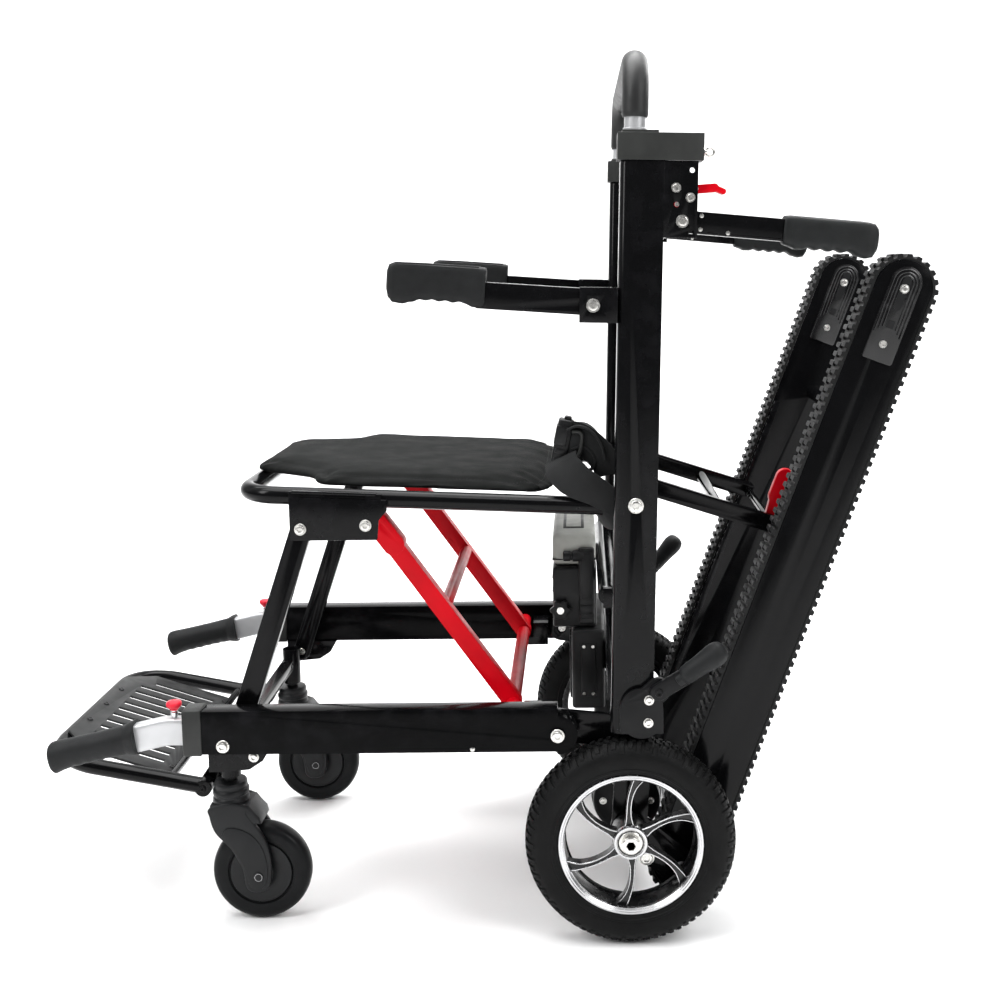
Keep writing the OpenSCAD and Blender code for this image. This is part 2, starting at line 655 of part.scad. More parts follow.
link_arms();
track_latch();
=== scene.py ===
"""Looks of the stair climbing wheelchair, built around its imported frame.

Work coordinates are millimetres with the rear axle at X = 0, as in the part's source;
W() and Bld.obj() turn them into the row frame in metres.
"""
import math
import json

import bpy
import bmesh
from mathutils import Matrix, Vector, noise


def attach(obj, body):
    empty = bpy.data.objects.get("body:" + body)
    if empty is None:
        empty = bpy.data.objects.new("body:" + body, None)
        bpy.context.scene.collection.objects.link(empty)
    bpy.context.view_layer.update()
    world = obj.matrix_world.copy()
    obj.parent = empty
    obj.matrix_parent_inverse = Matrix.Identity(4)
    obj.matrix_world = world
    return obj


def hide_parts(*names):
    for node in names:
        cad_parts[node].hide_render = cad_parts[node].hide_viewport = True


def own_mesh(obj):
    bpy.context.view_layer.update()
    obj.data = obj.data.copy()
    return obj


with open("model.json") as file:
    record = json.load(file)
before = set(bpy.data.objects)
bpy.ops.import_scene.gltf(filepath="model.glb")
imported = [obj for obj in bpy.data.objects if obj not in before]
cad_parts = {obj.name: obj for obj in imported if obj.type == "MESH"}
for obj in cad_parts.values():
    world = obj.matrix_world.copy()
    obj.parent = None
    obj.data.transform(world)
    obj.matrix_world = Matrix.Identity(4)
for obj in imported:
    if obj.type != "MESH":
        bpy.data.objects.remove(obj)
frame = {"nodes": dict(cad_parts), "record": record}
NODES = frame["nodes"]
BODY_OF = {n: b for b, ns in frame["record"]["behaviour"]["bodies"].items() for n in ns}
SLOT_OF = {p["node"]: p["material_slot"] for p in frame["record"]["subparts"]}
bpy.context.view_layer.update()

SX = 187.5
MM = 0.001
D = math.radians


def W(x, y, z):
    return Vector(((x + SX) * MM, y * MM, z * MM))


def T(x, y, z):
    return Matrix.Translation((x, y, z))


def RX(a):
    return Matrix.Rotation(D(a), 4, "X")


def RY(a):
    return Matrix.Rotation(D(a), 4, "Y")


def RZ(a):
    return Matrix.Rotation(D(a), 4, "Z")


LEAN, TLEAN = 1.4, 20.4
COL = T(2, 0, 262) @ RY(LEAN)


def col(x, z, y=0.0):
    return COL @ Vector((x, y, z))


P_SEAT = col(0, 279)
SEAT_O = col(0, 268)
P_RAIL = Vector((-87, 0, 260))
P_LEG = Vector((-395, 0, 510))
P_FOOT = P_LEG + P_RAIL - P_SEAT
P_BRACE = Vector((-316, 0, 514))
P_SADDLE = Vector((-144, 0, 272))
P_ARM = col(-54, 514)
P_GRIP = col(47, 612)
P_LINK = Vector((25, 0, 544))
P_DRIVE = Vector((65, 0, 73))
P_LEVER = Vector((34, 0, 318))
P_FLIP = Vector((-538.5, 0, 169))
CASTER = Vector((-503, 0, 62.5))
CAX = Vector((-466, 0, 62.5))
TRK = T(65, 0, 73) @ RY(TLEAN)
SEAT = T(*SEAT_O) @ RY(2.5)
P_PIN = TRK @ Vector((-30, 0, 435))
TLEN = 766.0


# ------------------------------------------------------------------ materials
class Mat:
    """A procedural material: a principled shader with helpers for its textures, in object metres."""

    def __init__(s, name, **sockets):
        s.m = bpy.data.materials.new(name)
        s.m.use_nodes = True
        s.nt = s.m.node_tree
        s.nt.nodes.clear()
        out = s.nt.nodes.new("ShaderNodeOutputMaterial")
        s.b = s.nt.nodes.new("ShaderNodeBsdfPrincipled")
        s.nt.links.new(s.b.outputs[0], out.inputs[0])
        for k, v in sockets.items():
            s.b.inputs[k.replace("_", " ")].default_value = v
        s.co = s.nt.nodes.new("ShaderNodeTexCoord").outputs["Object"]

    def link(s, a, b):
        s.nt.links.new(a, b)

    def stretch(s, x, y, z, rot=(0, 0, 0)):
        n = s.nt.nodes.new("ShaderNodeMapping")
        n.inputs["Scale"].default_value = (x, y, z)
        n.inputs["Rotation"].default_value = rot
        s.link(s.co, n.inputs["Vector"])
        return n.outputs[0]

    def noise(s, scale, detail=3.0, rough=0.55, vec=None):
        n = s.nt.nodes.new("ShaderNodeTexNoise")
        n.inputs["Scale"].default_value = scale
        n.inputs["Detail"].default_value = detail
        n.inputs["Roughness"].default_value = rough
        s.link(vec or s.co, n.inputs["Vector"])
        return n.outputs["Fac"]

    def voronoi(s, scale, feature="F1", out="Distance", vec=None):
        n = s.nt.nodes.new("ShaderNodeTexVoronoi")
        n.feature = feature
        n.inputs["Scale"].default_value = scale
        s.link(vec or s.co, n.inputs["Vector"])
        return n.outputs[out]

    def wave(s, scale, axis="X", dist=0.0, dscale=1.0, vec=None):
        n = s.nt.nodes.new("ShaderNodeTexWave")
        n.bands_direction = axis
        n.inputs["Scale"].default_value = scale
        n.inputs["Distortion"].default_value = dist
        n.inputs["Detail Scale"].default_value = dscale
        s.link(vec or s.co, n.inputs["Vector"])
        return n.outputs["Fac"]

    def math(s, op, a, b=None, c=None):
        n = s.nt.nodes.new("ShaderNodeMath")
        n.operation = op
        for i, v in enumerate((a, b, c)):
            if v is None:
                continue
            if isinstance(v, (int, float)):
                n.inputs[i].default_value = v
            else:
                s.link(v, n.inputs[i])
        return n.outputs[0]

    def ramp(s, fac, stops):
        n = s.nt.nodes.new("ShaderNodeValToRGB")
        while len(n.color_ramp.elements) < len(stops):
            n.color_ramp.elements.new(0.5)
        for e, (p, c) in zip(n.color_ramp.elements, stops):
            e.position = p
            c = (c, c, c) if isinstance(c, (int, float)) else c
            e.color = (*c, 1)
        s.link(fac, n.inputs[0])
        return n.outputs[0]

    def span(s, fac, lo, hi, a=0.3, b=0.7):
        n = s.nt.nodes.new("ShaderNodeMapRange")
        for i, v in zip((1, 2, 3, 4), (a, b, lo, hi)):
            n.inputs[i].default_value = v
        s.link(fac, n.inputs[0])
        return n.outputs[0]

    def mix(s, fac, a, b):
        n = s.nt.nodes.new("ShaderNodeMix")
        n.data_type = "RGBA"
        s.link(fac, n.inputs[0])
        for i, v in ((6, a), (7, b)):
            if isinstance(v, tuple):
                n.inputs[i].default_value = (*v, 1)
            else:
                s.link(v, n.inputs[i])
        return n.outputs[2]

    def worn(s, lo=0.53, hi=0.6):
        """Mask of the sharp outer edges, broken up by noise."""
        g = s.nt.nodes.new("ShaderNodeNewGeometry").outputs["Pointiness"]
        e = s.span(g, 0.0, 1.0, lo, hi)
        return s.math("MULTIPLY", e, s.span(s.noise(45, 4), 0.0, 1.0, 0.45, 0.65))

    def color(s, v):
        s.link(v, s.b.inputs["Base Color"])

    def rough(s, v):
        s.link(v, s.b.inputs["Roughness"])

    def bump(s, height, strength, dist, base=None):
        n = s.nt.nodes.new("ShaderNodeBump")
        n.inputs["Strength"].default_value = strength
        n.inputs["Distance"].default_value = dist
        s.link(height, n.inputs["Height"])
        if base is not None:
            s.link(base, n.inputs["Normal"])
        s.link(n.outputs[0], s.b.inputs["Normal"])
        return n.outputs[0]


def tint(c, k):
    return tuple(v * k for v in c)


def painted(name, c, r0=0.16, r1=0.3, wear=(0.09, 0.09, 0.092), spec=0.5):
    m = Mat(name, Specular_IOR_Level=spec)
    base = m.ramp(m.noise(14, 3), [(0.35, tint(c, 0.86)), (0.65, tint(c, 1.12))])
    m.color(m.mix(m.worn(), base, wear))
    m.rough(m.span(m.noise(38, 4), r0, r1))
    m.bump(m.noise(620, 2), 0.04, 0.0004)
    return m.m


def moulded(name, c, r0=0.42, r1=0.56, grain=1400, bump=0.18, spec=0.24):
    m = Mat(name, Specular_IOR_Level=spec)
    base = m.ramp(m.noise(22, 4), [(0.35, tint(c, 0.86)), (0.65, tint(c, 1.14))])
    m.color(m.mix(m.worn(0.54, 0.64), base, tint(c, 1.9)))
    m.rough(m.span(m.noise(60, 4), r0, r1))
    m.bump(m.voronoi(grain), bump, 0.0004)
    return m.m


def rubbery(name, c, r0=0.55, r1=0.72, grain=900, bump=0.3, dust=1.6, spec=0.2):
    m = Mat(name, Specular_IOR_Level=spec)
    d = m.span(m.noise(9, 5, 0.65), 0.0, 1.0, 0.5, 0.75)
    base = m.ramp(m.noise(70, 4), [(0.35, tint(c, 0.88)), (0.65, tint(c, 1.12))])
    m.color(m.mix(d, base, tint(c, dust)))
    m.rough(m.span(m.noise(40, 4), r0, r1))
    m.bump(m.math("ADD", m.voronoi(grain), m.noise(grain * 0.4, 3)), bump, 0.0004)
    return m.m


def metal(name, c, r0=0.18, r1=0.34, brush=(1, 1, 1), bump=0.05, share=1.0):
    m = Mat(name, Metallic=share)
    v = m.stretch(*brush)
    base = m.ramp(m.noise(16, 3), [(0.35, tint(c, 0.88)), (0.65, tint(c, 1.05))])
    m.color(base)
    m.rough(m.span(m.noise(260, 4, 0.6, v), r0, r1))
    m.bump(m.noise(700, 3, 0.6, v), bump, 0.0003)
    return m.m


def woven(name, c, pitch=0.0016, sheen=0.25, axes=("X", "Y"), light=1.9, spec=0.16):
    m = Mat(name, Sheen_Weight=sheen, Sheen_Roughness=0.45, Specular_IOR_Level=spec)
    k = 0.314159 / pitch
    a = m.wave(k, axes[0], 0.6, 3.0)
    b = m.wave(k, axes[1], 0.6, 3.0)
    cell = m.math("ABSOLUTE", m.math("SUBTRACT", a, b))
    big = m.noise(7, 5, 0.6)
    base = m.mix(cell, tint(c, 0.7), tint(c, 1.35))
    m.color(m.mix(m.span(big, 0.0, 0.55, 0.45, 0.8), base, tint(c, light)))
    m.rough(m.span(m.noise(30, 4), 0.74, 0.92))
    m.bump(cell, 0.35, 0.0005, m.bump(m.noise(55, 4), 0.12, 0.003))
    return m.m


BLACK = painted("paint_black", (0.0026, 0.0027, 0.003), 0.12, 0.2, (0.008, 0.008, 0.009), 0.13)
# painted shade: the side rails carry the same black paint as the rest of the frame, but get a darker, less reflective
# copy of it here
BLACK_RAIL_SHADED = painted("paint_black_rail_shaded", (0.0022, 0.0023, 0.0025), 0.12, 0.2, (0.008, 0.008, 0.009), 0.04)
BLACK_SATIN = painted("paint_black_satin", (0.0035, 0.0036, 0.004), 0.28, 0.42, (0.012, 0.012, 0.013), 0.16)
RED = painted("paint_red", (0.56, 0.0006, 0.007), 0.3, 0.42, (0.56, 0.002, 0.01), 0.1)
RED_KNOB = moulded("plastic_red", (0.58, 0.012, 0.03), 0.24, 0.36, 1800, 0.05)
CAP = moulded("plastic_cap", (0.0175, 0.0185, 0.0175), spec=0.3)
CASE = moulded("plastic_case", (0.006, 0.0062, 0.0066), 0.34, 0.5)
CASE_GREY = moulded("plastic_grey", (0.33, 0.335, 0.31), 0.36, 0.5)
FORK = moulded("plastic_fork", (0.0052, 0.0057, 0.0064), 0.34, 0.48)
SLEEVE = rubbery("rubber_sleeve", (0.0075, 0.0078, 0.008), 0.4, 0.54, 1100, 0.2, spec=0.4)
GRIP = rubbery("rubber_grip", (0.0072, 0.0078, 0.0082), 0.48, 0.64, 800, 0.3)
GRIP_GREY = rubbery("rubber_grip_grey", (0.0088, 0.0098, 0.01), 0.44, 0.6, 1000, 0.2)
TYRE = rubbery("rubber_tyre", (0.0034, 0.0035, 0.0036), 0.44, 0.62, 700, 0.35, 1.7, spec=0.11)
PU = rubbery("rubber_caster", (0.0055, 0.0059, 0.0064), 0.32, 0.46, 700, 0.12, 1.3, spec=0.11)
BELT = rubbery("rubber_belt", (0.0058, 0.006, 0.0062), 0.48, 0.66, 600, 0.35, 1.9)
ALU = metal("alu_satin", (0.5, 0.505, 0.515), 0.34, 0.48, (1, 1, 30), 0.08, 0.6)
POLISH = metal("alu_machined", (0.56, 0.56, 0.57), 0.18, 0.3, (1, 1, 1), 0.04)
ZINC = metal("steel_zinc", (0.7, 0.69, 0.66), 0.2, 0.36)
STEEL = metal("steel_shaft", (0.5, 0.5, 0.51), 0.22, 0.4, (1, 40, 1))
RIM_BLACK = painted("rim_black", (0.006, 0.0062, 0.0066), 0.2, 0.34, (0.05, 0.05, 0.05), 0.35)
TENSION = painted("plate_tension", (0.004, 0.0041, 0.0045), 0.14, 0.26, (0.03, 0.03, 0.031), 0.42)
FOOTPLATE = painted("paint_footplate", (0.0125, 0.013, 0.0132), 0.4, 0.55, (0.05, 0.05, 0.05), 0.22)
CLOTH = woven("cloth_seat", (0.0062, 0.0068, 0.0065), sheen=0.008, light=1.3, spec=0.08)
WEB = woven("webbing_black", (0.0135, 0.014, 0.0143), 0.0022, 0.08, ("Z", "X"), 1.5)


# ------------------------------------------------------------------ mesh building
class Bld:
    """Collects faces in work millimetres; obj() makes one piece of them."""

    def __init__(s):
        s.v, s.f, s.m = [], [], []

    def add(s, verts, faces, M=None, mi=0):
        o = len(s.v)
        s.v += [(M @ Vector(p)) if M is not None else Vector(p) for p in verts]
        for k, f in enumerate(faces):
            s.f.append(tuple(o + i for i in f))
            s.m.append(mi[k] if isinstance(mi, list) else mi)

    def rings(s, rings, M=None, mi=0, close_u=True, close_v=False, cap0=False, cap1=False):
        n, R = len(rings[0]), len(rings)
        fs, ms = [], []
        for i in range(R if close_v else R - 1):
            a, b = i * n, ((i + 1) % R) * n
            for j in range(n if close_u else n - 1):
                k = (j + 1) % n
                fs.append((a + j, a + k, b + k, b + j))
                ms.append(mi[j] if isinstance(mi, list) else mi)
        m0 = mi[0] if isinstance(mi, list) else mi
        if cap0:
            fs.append(tuple(range(n)))
            ms.append(m0)
        if cap1:
            fs.append(tuple((R - 1) * n + j for j in range(n)))
            ms.append(m0)
        s.add([p for r in rings for p in r], fs, M, ms)

    def lathe(s, prof, M=None, n=48, mi=0, closed=False, caps=True):
        """Turns (r, h) points about the local Z axis."""
        rr = [[(r * math.cos(2 * math.pi * j / n), r * math.sin(2 * math.pi * j / n), h) for j in range(n)] for r, h in prof]
        c = caps and not closed
        s.rings(rr, M, mi, True, closed, c and prof[0][0] > 1e-6, c and prof[-1][0] > 1e-6)

    def tube(s, path, r, n=20, M=None, mi=0, cap=True, sec=None, up=None, closed=False):
        P = [Vector(p) for p in path]
        L = len(P)
        if closed:
            Tn = [(P[(i + 1) % L] - P[i - 1]).normalized() for i in range(L)]
        else:
            Tn = [(P[min(i + 1, L - 1)] - P[max(i - 1, 0)]).normalized() for i in range(L)]
        u0 = Vector(up) if up is not None else (Vector((0, 0, 1)) if abs(Tn[0].z) < 0.9 else Vector((1, 0, 0)))
        u = (u0 - Tn[0] * u0.dot(Tn[0])).normalized()
        out = []
        for i, p in enumerate(P):
            if i:
                u = Tn[i - 1].rotation_difference(Tn[i]) @ u
            u = (u - Tn[i] * u.dot(Tn[i])).normalized()
            w = Tn[i].cross(u)
            if sec is not None:
                S = sec(i / (L - 1))
            else:
                ri = r[i] if isinstance(r, (list, tuple)) else r
                S = [(ri * math.cos(2 * math.pi * j / n), ri * math.sin(2 * math.pi * j / n)) for j in range(n)]
            out.append([p + u * a + w * b for a, b in S])
        s.rings(out, M, mi, True, closed, cap and not closed, cap and not closed)

    def bm(s, bm, M=None, mi=0):
        bm.verts.index_update()
        s.add([v.co.copy() for v in bm.verts], [[v.index for v in f.verts] for f in bm.faces], M, mi)
        bm.free()

    def box(s, lo, hi, r=2.0, seg=3, M=None, mi=0):
        b = bmesh.new()
        bmesh.ops.create_cube(b, size=1.0)
        for v in b.verts:
            v.co = Vector([(lo[i] + hi[i]) / 2 + v.co[i] * (hi[i] - lo[i]) for i in range(3)])
        if r > 0:
            bmesh.ops.bevel(b, geom=list(b.edges), offset=r, segments=seg, profile=0.5, affect="EDGES", clamp_overlap=True)
        s.bm(b, M, mi)

    def prism(s, outline, y0, y1, r=1.0, seg=2, M=None, mi=0):
        """Extrudes an X-Z outline from y0 to y1, with rounded rims."""
        b = bmesh.new()
        lo = [b.verts.new((x, y0, z)) for x, z in outline]
        hi = [b.verts.new((x, y1, z)) for x, z in outline]
        b.faces.new(lo)
        b.faces.new(hi[::-1])
        n = len(lo)
        for i in range(n):
            k = (i + 1) % n
            b.faces.new((lo[i], hi[i], hi[k], lo[k]))
        bmesh.ops.recalc_face_normals(b, faces=list(b.faces))
        if r > 0:
            rim = [e for e in b.edges if abs(e.verts[0].co.y - e.verts[1].co.y) < 1e-6]
            bmesh.ops.bevel(b, geom=rim, offset=r, segments=seg, profile=0.5, affect="EDGES", clamp_overlap=True)
        s.bm(b, M, mi)

    def hexbolt(s, M, d=11.0, h=4.0, mi=0, socket=True, washer=True):
        """A round cap head on local Z = 0 with a hexagon socket and a washer."""
        r = d / 2
        if washer:
            s.lathe([(0.0, 0.0), (r * 1.28, 0.0), (r * 1.3, 0.5), (r * 1.24, 1.0), (0, 1.0)], M, 28, mi)
        prof = [(r * 0.98, 0.6), (r, 1.2), (r, h - 0.9), (r * 0.94, h - 0.3), (r * 0.84, h)]
        rings = [[(p * math.cos(2 * math.pi * j / 24), p * math.sin(2 * math.pi * j / 24), z) for j in range(24)] for p, z in prof]
        if socket:
            for k, z in ((0.56, h), (0.52, h - 0.3), (0.52, h - 2.2)):
                ring = []
                for j in range(24):
                    a = 2 * math.pi * j / 24
                    c = math.cos(math.pi / 6) / math.cos((a % (math.pi / 3)) - math.pi / 6)
                    ring.append((r * k * c * math.cos(a), r * k * c * math.sin(a), z))
                rings.append(ring)
        s.rings(rings, M, mi, cap0=True, cap1=True)

    def obj(s, name, mats, body, replaces=(), slot=None, angle=38, mirror=False, keep=None):
        me = bpy.data.meshes.new(name)
        k = -1 if mirror else 1
        me.from_pydata([((p.x + SX) * MM, k * p.y * MM, p.z * MM) for p in s.v], [], s.f)
        mats = mats if isinstance(mats, (list, tuple)) else [mats]
        for m in mats:
            me.materials.append(m)
        me.polygons.foreach_set("material_index", s.m)
        b = bmesh.new()
        b.from_mesh(me)
        bmesh.ops.remove_doubles(b, verts=b.verts, dist=2e-6)
        bmesh.ops.dissolve_degenerate(b, edges=b.edges, dist=1e-7)
        bmesh.ops.recalc_face_normals(b, faces=b.faces)
        b.to_mesh(me)
        b.free()
        return put(name, me, body, replaces, slot, angle)


def put(name, me, body, replaces=(), slot=None, angle=38):
    me.polygons.foreach_set("use_smooth", [True] * len(me.polygons))
    me.set_sharp_from_angle(angle=D(angle))
    ob = bpy.data.objects.new(name, me)
    bpy.context.scene.collection.objects.link(ob)
    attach(ob, body)
    replaces = [replaces] if isinstance(replaces, str) else list(replaces)
    if replaces:
        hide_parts(*replaces)
        slot = slot or SLOT_OF[replaces[0]]
    return ob


def applied(ob):
    """Bakes the object's modifiers into its mesh."""
    bpy.context.view_layer.update()
    dg = bpy.context.evaluated_depsgraph_get()
    me = bpy.data.meshes.new_from_object(ob.evaluated_get(dg))
    old = ob.data
    ob.modifiers.clear()
    ob.data = me
    if old.users == 0:
        bpy.data.meshes.remove(old)
    return ob


def skin(node, mat, width=1.2, seg=2, lim=32, angle=40):
    """A CAD node with its edges rounded as they are on the real piece."""
    me = NODES[node].data.copy()
    me.materials.clear()
    me.materials.append(mat)
    b = bmesh.new()
    b.from_mesh(me)
    bmesh.ops.remove_doubles(b, verts=b.verts, dist=2e-6)
    bmesh.ops.dissolve_limit(b, angle_limit=D(0.6), verts=b.verts, edges=b.edges)
    for f in b.faces:
        f.material_index = 0
    b.to_mesh(me)
    b.free()
    me.name = node + "_skin"
    ob = bpy.data.objects.new(node + "_skin", me)
    bpy.context.scene.collection.objects.link(ob)
    md = ob.modifiers.new("edges", "BEVEL")
    md.width, md.segments, md.limit_method, md.angle_limit = width * MM, seg, "ANGLE", D(lim)
    md.use_clamp_overlap = True
    applied(ob)
    ob.data.polygons.foreach_set("use_smooth", [True] * len(ob.data.polygons))
    ob.data.set_sharp_from_angle(angle=D(angle))
    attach(ob, BODY_OF[node])
    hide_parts(node)
    return ob


def rounded(points, radii, seg=8):
    """A polyline with its inner corners rounded."""
    P = [Vector(p) for p in points]
    out = [P[0]]
    for i in range(1, len(P) - 1):
        r = radii[i - 1] if isinstance(radii, (list, tuple)) else radii
        a, b = (P[i - 1] - P[i]), (P[i + 1] - P[i])
        an = a.angle(b)
        t = min(r / math.tan(an / 2), a.length * 0.499, b.length * 0.499)
        p0, p1 = P[i] + a.normalized() * t, P[i] + b.normalized() * t
        for k in range(seg + 1):
            u = k / seg
            out.append((1 - u) ** 2 * p0 + 2 * u * (1 - u) * P[i] + u * u * p1)
    out.append(P[-1])
    return out


def dense(path, step):
    """The same path with points at most step apart."""
    P = [Vector(p) for p in path]
    out = [P[0]]
    for a, b in zip(P, P[1:]):
        k = max(1, math.ceil((b - a).length / step))
        out += [a.lerp(b, i / k) for i in range(1, k + 1)]
    return out


def spline(pts, n=6, closed=True):
    """Catmull-Rom through 2-D points."""
    P = [Vector(p) for p in pts]
    L, out = len(P), []
    for i in range(L if closed else L - 1):
        p0, p1, p2, p3 = (P[(i + k - 1) % L] if closed else P[min(max(i + k - 1, 0), L - 1)] for k in range(4))
        for j in range(n):
            t = j / n
            out.append(0.5 * ((2 * p1) + (p2 - p0) * t + (2 * p0 - 5 * p1 + 4 * p2 - p3) * t * t + (3 * p1 - p0 - 3 * p2 + p3) * t ** 3))
    if not closed:
        out.append(P[-1])
    return [tuple(p) for p in out]


def squircle(a, b, n=32, e=3.0):
    """Points of a rounded rectangle of half sizes a and b."""
    out = []
    for j in range(n):
        t = 2 * math.pi * j / n
        c, s_ = math.cos(t), math.sin(t)
        out.append((math.copysign(abs(c) ** (2 / e), c) * a, math.copysign(abs(s_) ** (2 / e), s_) * b))
    return out


BOTH = ((-1, "left"), (1, "right"))

def both_sides(b):
    """Adds the mirror image of everything built so far."""
    n = len(b.v)
    b.v += [Vector((p.x, -p.y, p.z)) for p in b.v]
    b.f += [tuple(n + i for i in reversed(f)) for f in b.f[:]]
    b.m += b.m[:]


FACE = RX(90)  # local Z points to -Y, out of the left side

# ------------------------------------------------------------------ rear wheels
TYRE_HALF = [(88.3, 12.0), (88.3, 19.4), (90.0, 21.0), (93.0, 21.7), (93.8, 22.7), (96.0, 23.1), (97.0, 22.5), (101.0, 23.6),
             (106.0, 23.9), (111.0, 23.4), (115.5, 21.9), (119.5, 19.0), (122.4, 15.6), (124.4, 11.0), (125.4, 5.0)]


def crown(h):
    """Radius of the tyre's carcass at distance h from its middle."""
    pts = [(0.0, 125.6)] + [(q, r) for r, q in reversed(TYRE_HALF) if r > 108]
    h = abs(h)
    for (h0, r0), (h1, r1) in zip(pts, pts[1:]):
        if h <= h1:
            return r0 + (r1 - r0) * (h - h0) / (h1 - h0)
    return pts[-1][1]


def tread_block(b, M, a0, a1, h0, h1, skew, rise, steps):
    rings = []
    for k in range(steps + 1):
        h = h0 + (h1 - h0) * k / steps
        e = D(skew * (h - h0))
        lo, hi = crown(h) - 0.8, min(crown(h) + rise, 128.4)
        w = D(a1 - a0)
        ring = []
        for a, r in ((D(a0) + e, lo), (D(a1) + e, lo), (D(a1) + e - 0.1 * w, hi), (D(a0) + e + 0.1 * w, hi)):
            ring.append((r * math.cos(a), r * math.sin(a), h))
        rings.append(ring)
    b.rings(rings, M, 0, cap0=True, cap1=True)


WHEEL = T(0, -233, 128.5) @ FACE
for s, n in BOTH:
    b = Bld()
    b.lathe([(r, -h) for r, h in TYRE_HALF] + [(125.6, 0)] + [(r, h) for r, h in reversed(TYRE_HALF)], WHEEL, 128, 0, closed=True)
    NB = 76
    p = 360.0 / NB
    for i in range(NB):
        a = i * p
        tread_block(b, WHEEL, a, a + 0.64 * p, -8.6, -0.9, 0.12, 2.7, 2)
        tread_block(b, WHEEL, a + 0.5 * p, a + 1.14 * p, 0.9, 8.6, -0.12, 2.7, 2)
        end = 21.6 if i % 2 else 18.8
        tread_block(b, WHEEL, a + 0.1 * p, a + 0.7 * p, -10.2, -end, -0.06, 2.4, 4)
        tread_block(b, WHEEL, a + 0.6 * p, a + 1.2 * p, 10.2, end, 0.06, 2.4, 4)
    b.obj("tyre_" + n, TYRE, "wheel_" + n, "rear_tyre_" + n, mirror=s > 0, angle=30)

    b = Bld()
    b.lathe([(87.9, -18.5), (87.9, 18.5), (82.0, 18.5), (80.8, 14), (79.6, 4), (79.6, -6), (80.6, -15), (82.0, -18.5)], WHEEL, 96, 0, closed=True)
    b.lathe([(87.9, -17), (87.9, -21), (84, -21.2), (80, -20), (78.6, -17.5), (80.4, -15.6)], WHEEL, 96, 0, closed=True)
    b.lathe([(87.95, 15.5), (88.0, 19.5), (87.3, 21.0), (85.0, 21.3), (84.2, 20.5), (83.4, 20.5), (82.6, 20.6), (80.6, 18.6), (80.2, 15.2), (82.0, 14.2)],
            WHEEL, 96, 1, closed=True)
    b.lathe([(8.2, -23.5), (21, -23.5), (22, -22), (22, 6), (21.4, 9), (20.8, 13.0), (19.4, 14.6), (8.2, 14.6)], WHEEL, 64, 0, closed=True)
    b.lathe([(21.4, 9.5), (21.2, 13.6), (20.0, 15.8), (17.4, 16.2), (15.8, 15.2), (15.4, 13.2)], WHEEL, 64, 1, closed=True)
    b.hexbolt(WHEEL @ T(0, 0, 14.4), 22, 8.8, 2)
    for i in range(6):
        rings = []
        for k in range(15):
            t = k / 14
            r = 16 + 66 * t
            th = D(90 + 60 * i + 4 - 13 * t ** 2.3)
            c, tan = Vector((r * math.cos(th), r * math.sin(th), 0)), Vector((-math.sin(th), math.cos(th), 0))
            w = 4.9 - 1.7 * math.sin(math.pi * min(1, t * 1.1)) + 5.0 * max(0.0, t - 0.78) ** 1.3 * 3.2 + 2.2 * max(0.0, 0.2 - t) * 5
            top = 12.0 - 1.5 * t + 1.5 * t * t
            low = top - 12.0
            rings.append([c + tan * a + Vector((0, 0, h)) for a, h in (
                (-w, low), (w, low), (w, top - 0.2), (w - 0.5, top + 0.5), (w - 1.35, top + 0.4), (w - 1.9, top - 1.5),
                (-w + 1.9, top - 1.5), (-w + 1.35, top + 0.4), (-w + 0.5, top + 0.5), (-w, top - 0.2))])
        b.rings(rings, WHEEL, [0, 0, 1, 1, 1, 0, 1, 1, 1, 0], cap0=True, cap1=True)
    # tyre valve inside the barrel
    b.tube([(58, -52, 2), (64, -46, 6), (71, -40, 8)], 2.6, 12, WHEEL @ RZ(-6), 0)
    b.obj("rim_" + n, [RIM_BLACK, POLISH, ZINC], "wheel_" + n, "rear_rim_" + n, mirror=s > 0, angle=32)

# ------------------------------------------------------------------ casters
CW = T(CAX.x, -172, CAX.z) @ FACE
HUB = [(5.1, 13.6), (14.2, 13.6), (15.4, 12.6), (17.6, 12.4), (18.6, 12.9), (35.4, 12.6), (38.6, 12.3), (39.6, 10.6)]
ROLL_HALF = [(39.7, 10.2), (41.0, 10.8), (41.8, 13.2), (45.5, 13.9), (53, 13.8), (57.6, 12.4), (60.6, 9.4), (62.1, 5.0)]
LEG = [(-60, 89), (-59.4, 78), (-56.3, 65), (-51.3, 55.2), (-42.5, 45.3), (-34.8, 37.6), (-27.1, 23.4), (-20.6, 10.2), (-18.4, -3),
       (-16.6, -14), (-9.5, -20.6), (4.7, -20.6), (13.0, -13.0), (16.0, 3.7), (15.4, 24.5), (11.2, 43.1), (3.6, 58.5), (-4.1, 69.4), (-12.9, 82.6), (-13.5, 92), (-36, 96)]
PANEL = [(-45, 52), (-30, 33), (-19, 14), (-14, -3), (-11.5, -12), (-4, -16.2), (4, -15.6), (9.4, -8), (11.6, 8), (9.6, 26), (3.6, 42), (-7, 55), (-22, 63), (-38, 64)]
CROWN = [(-59, 92), (-59, 78), (-56, 66), (-50, 56.5), (-38.4, 55.6), (-28.3, 61.4), (-17.3, 65.4), (-6, 67.6), (5, 68.0), (3, 76), (-4, 84), (-10, 92), (-36, 95)]
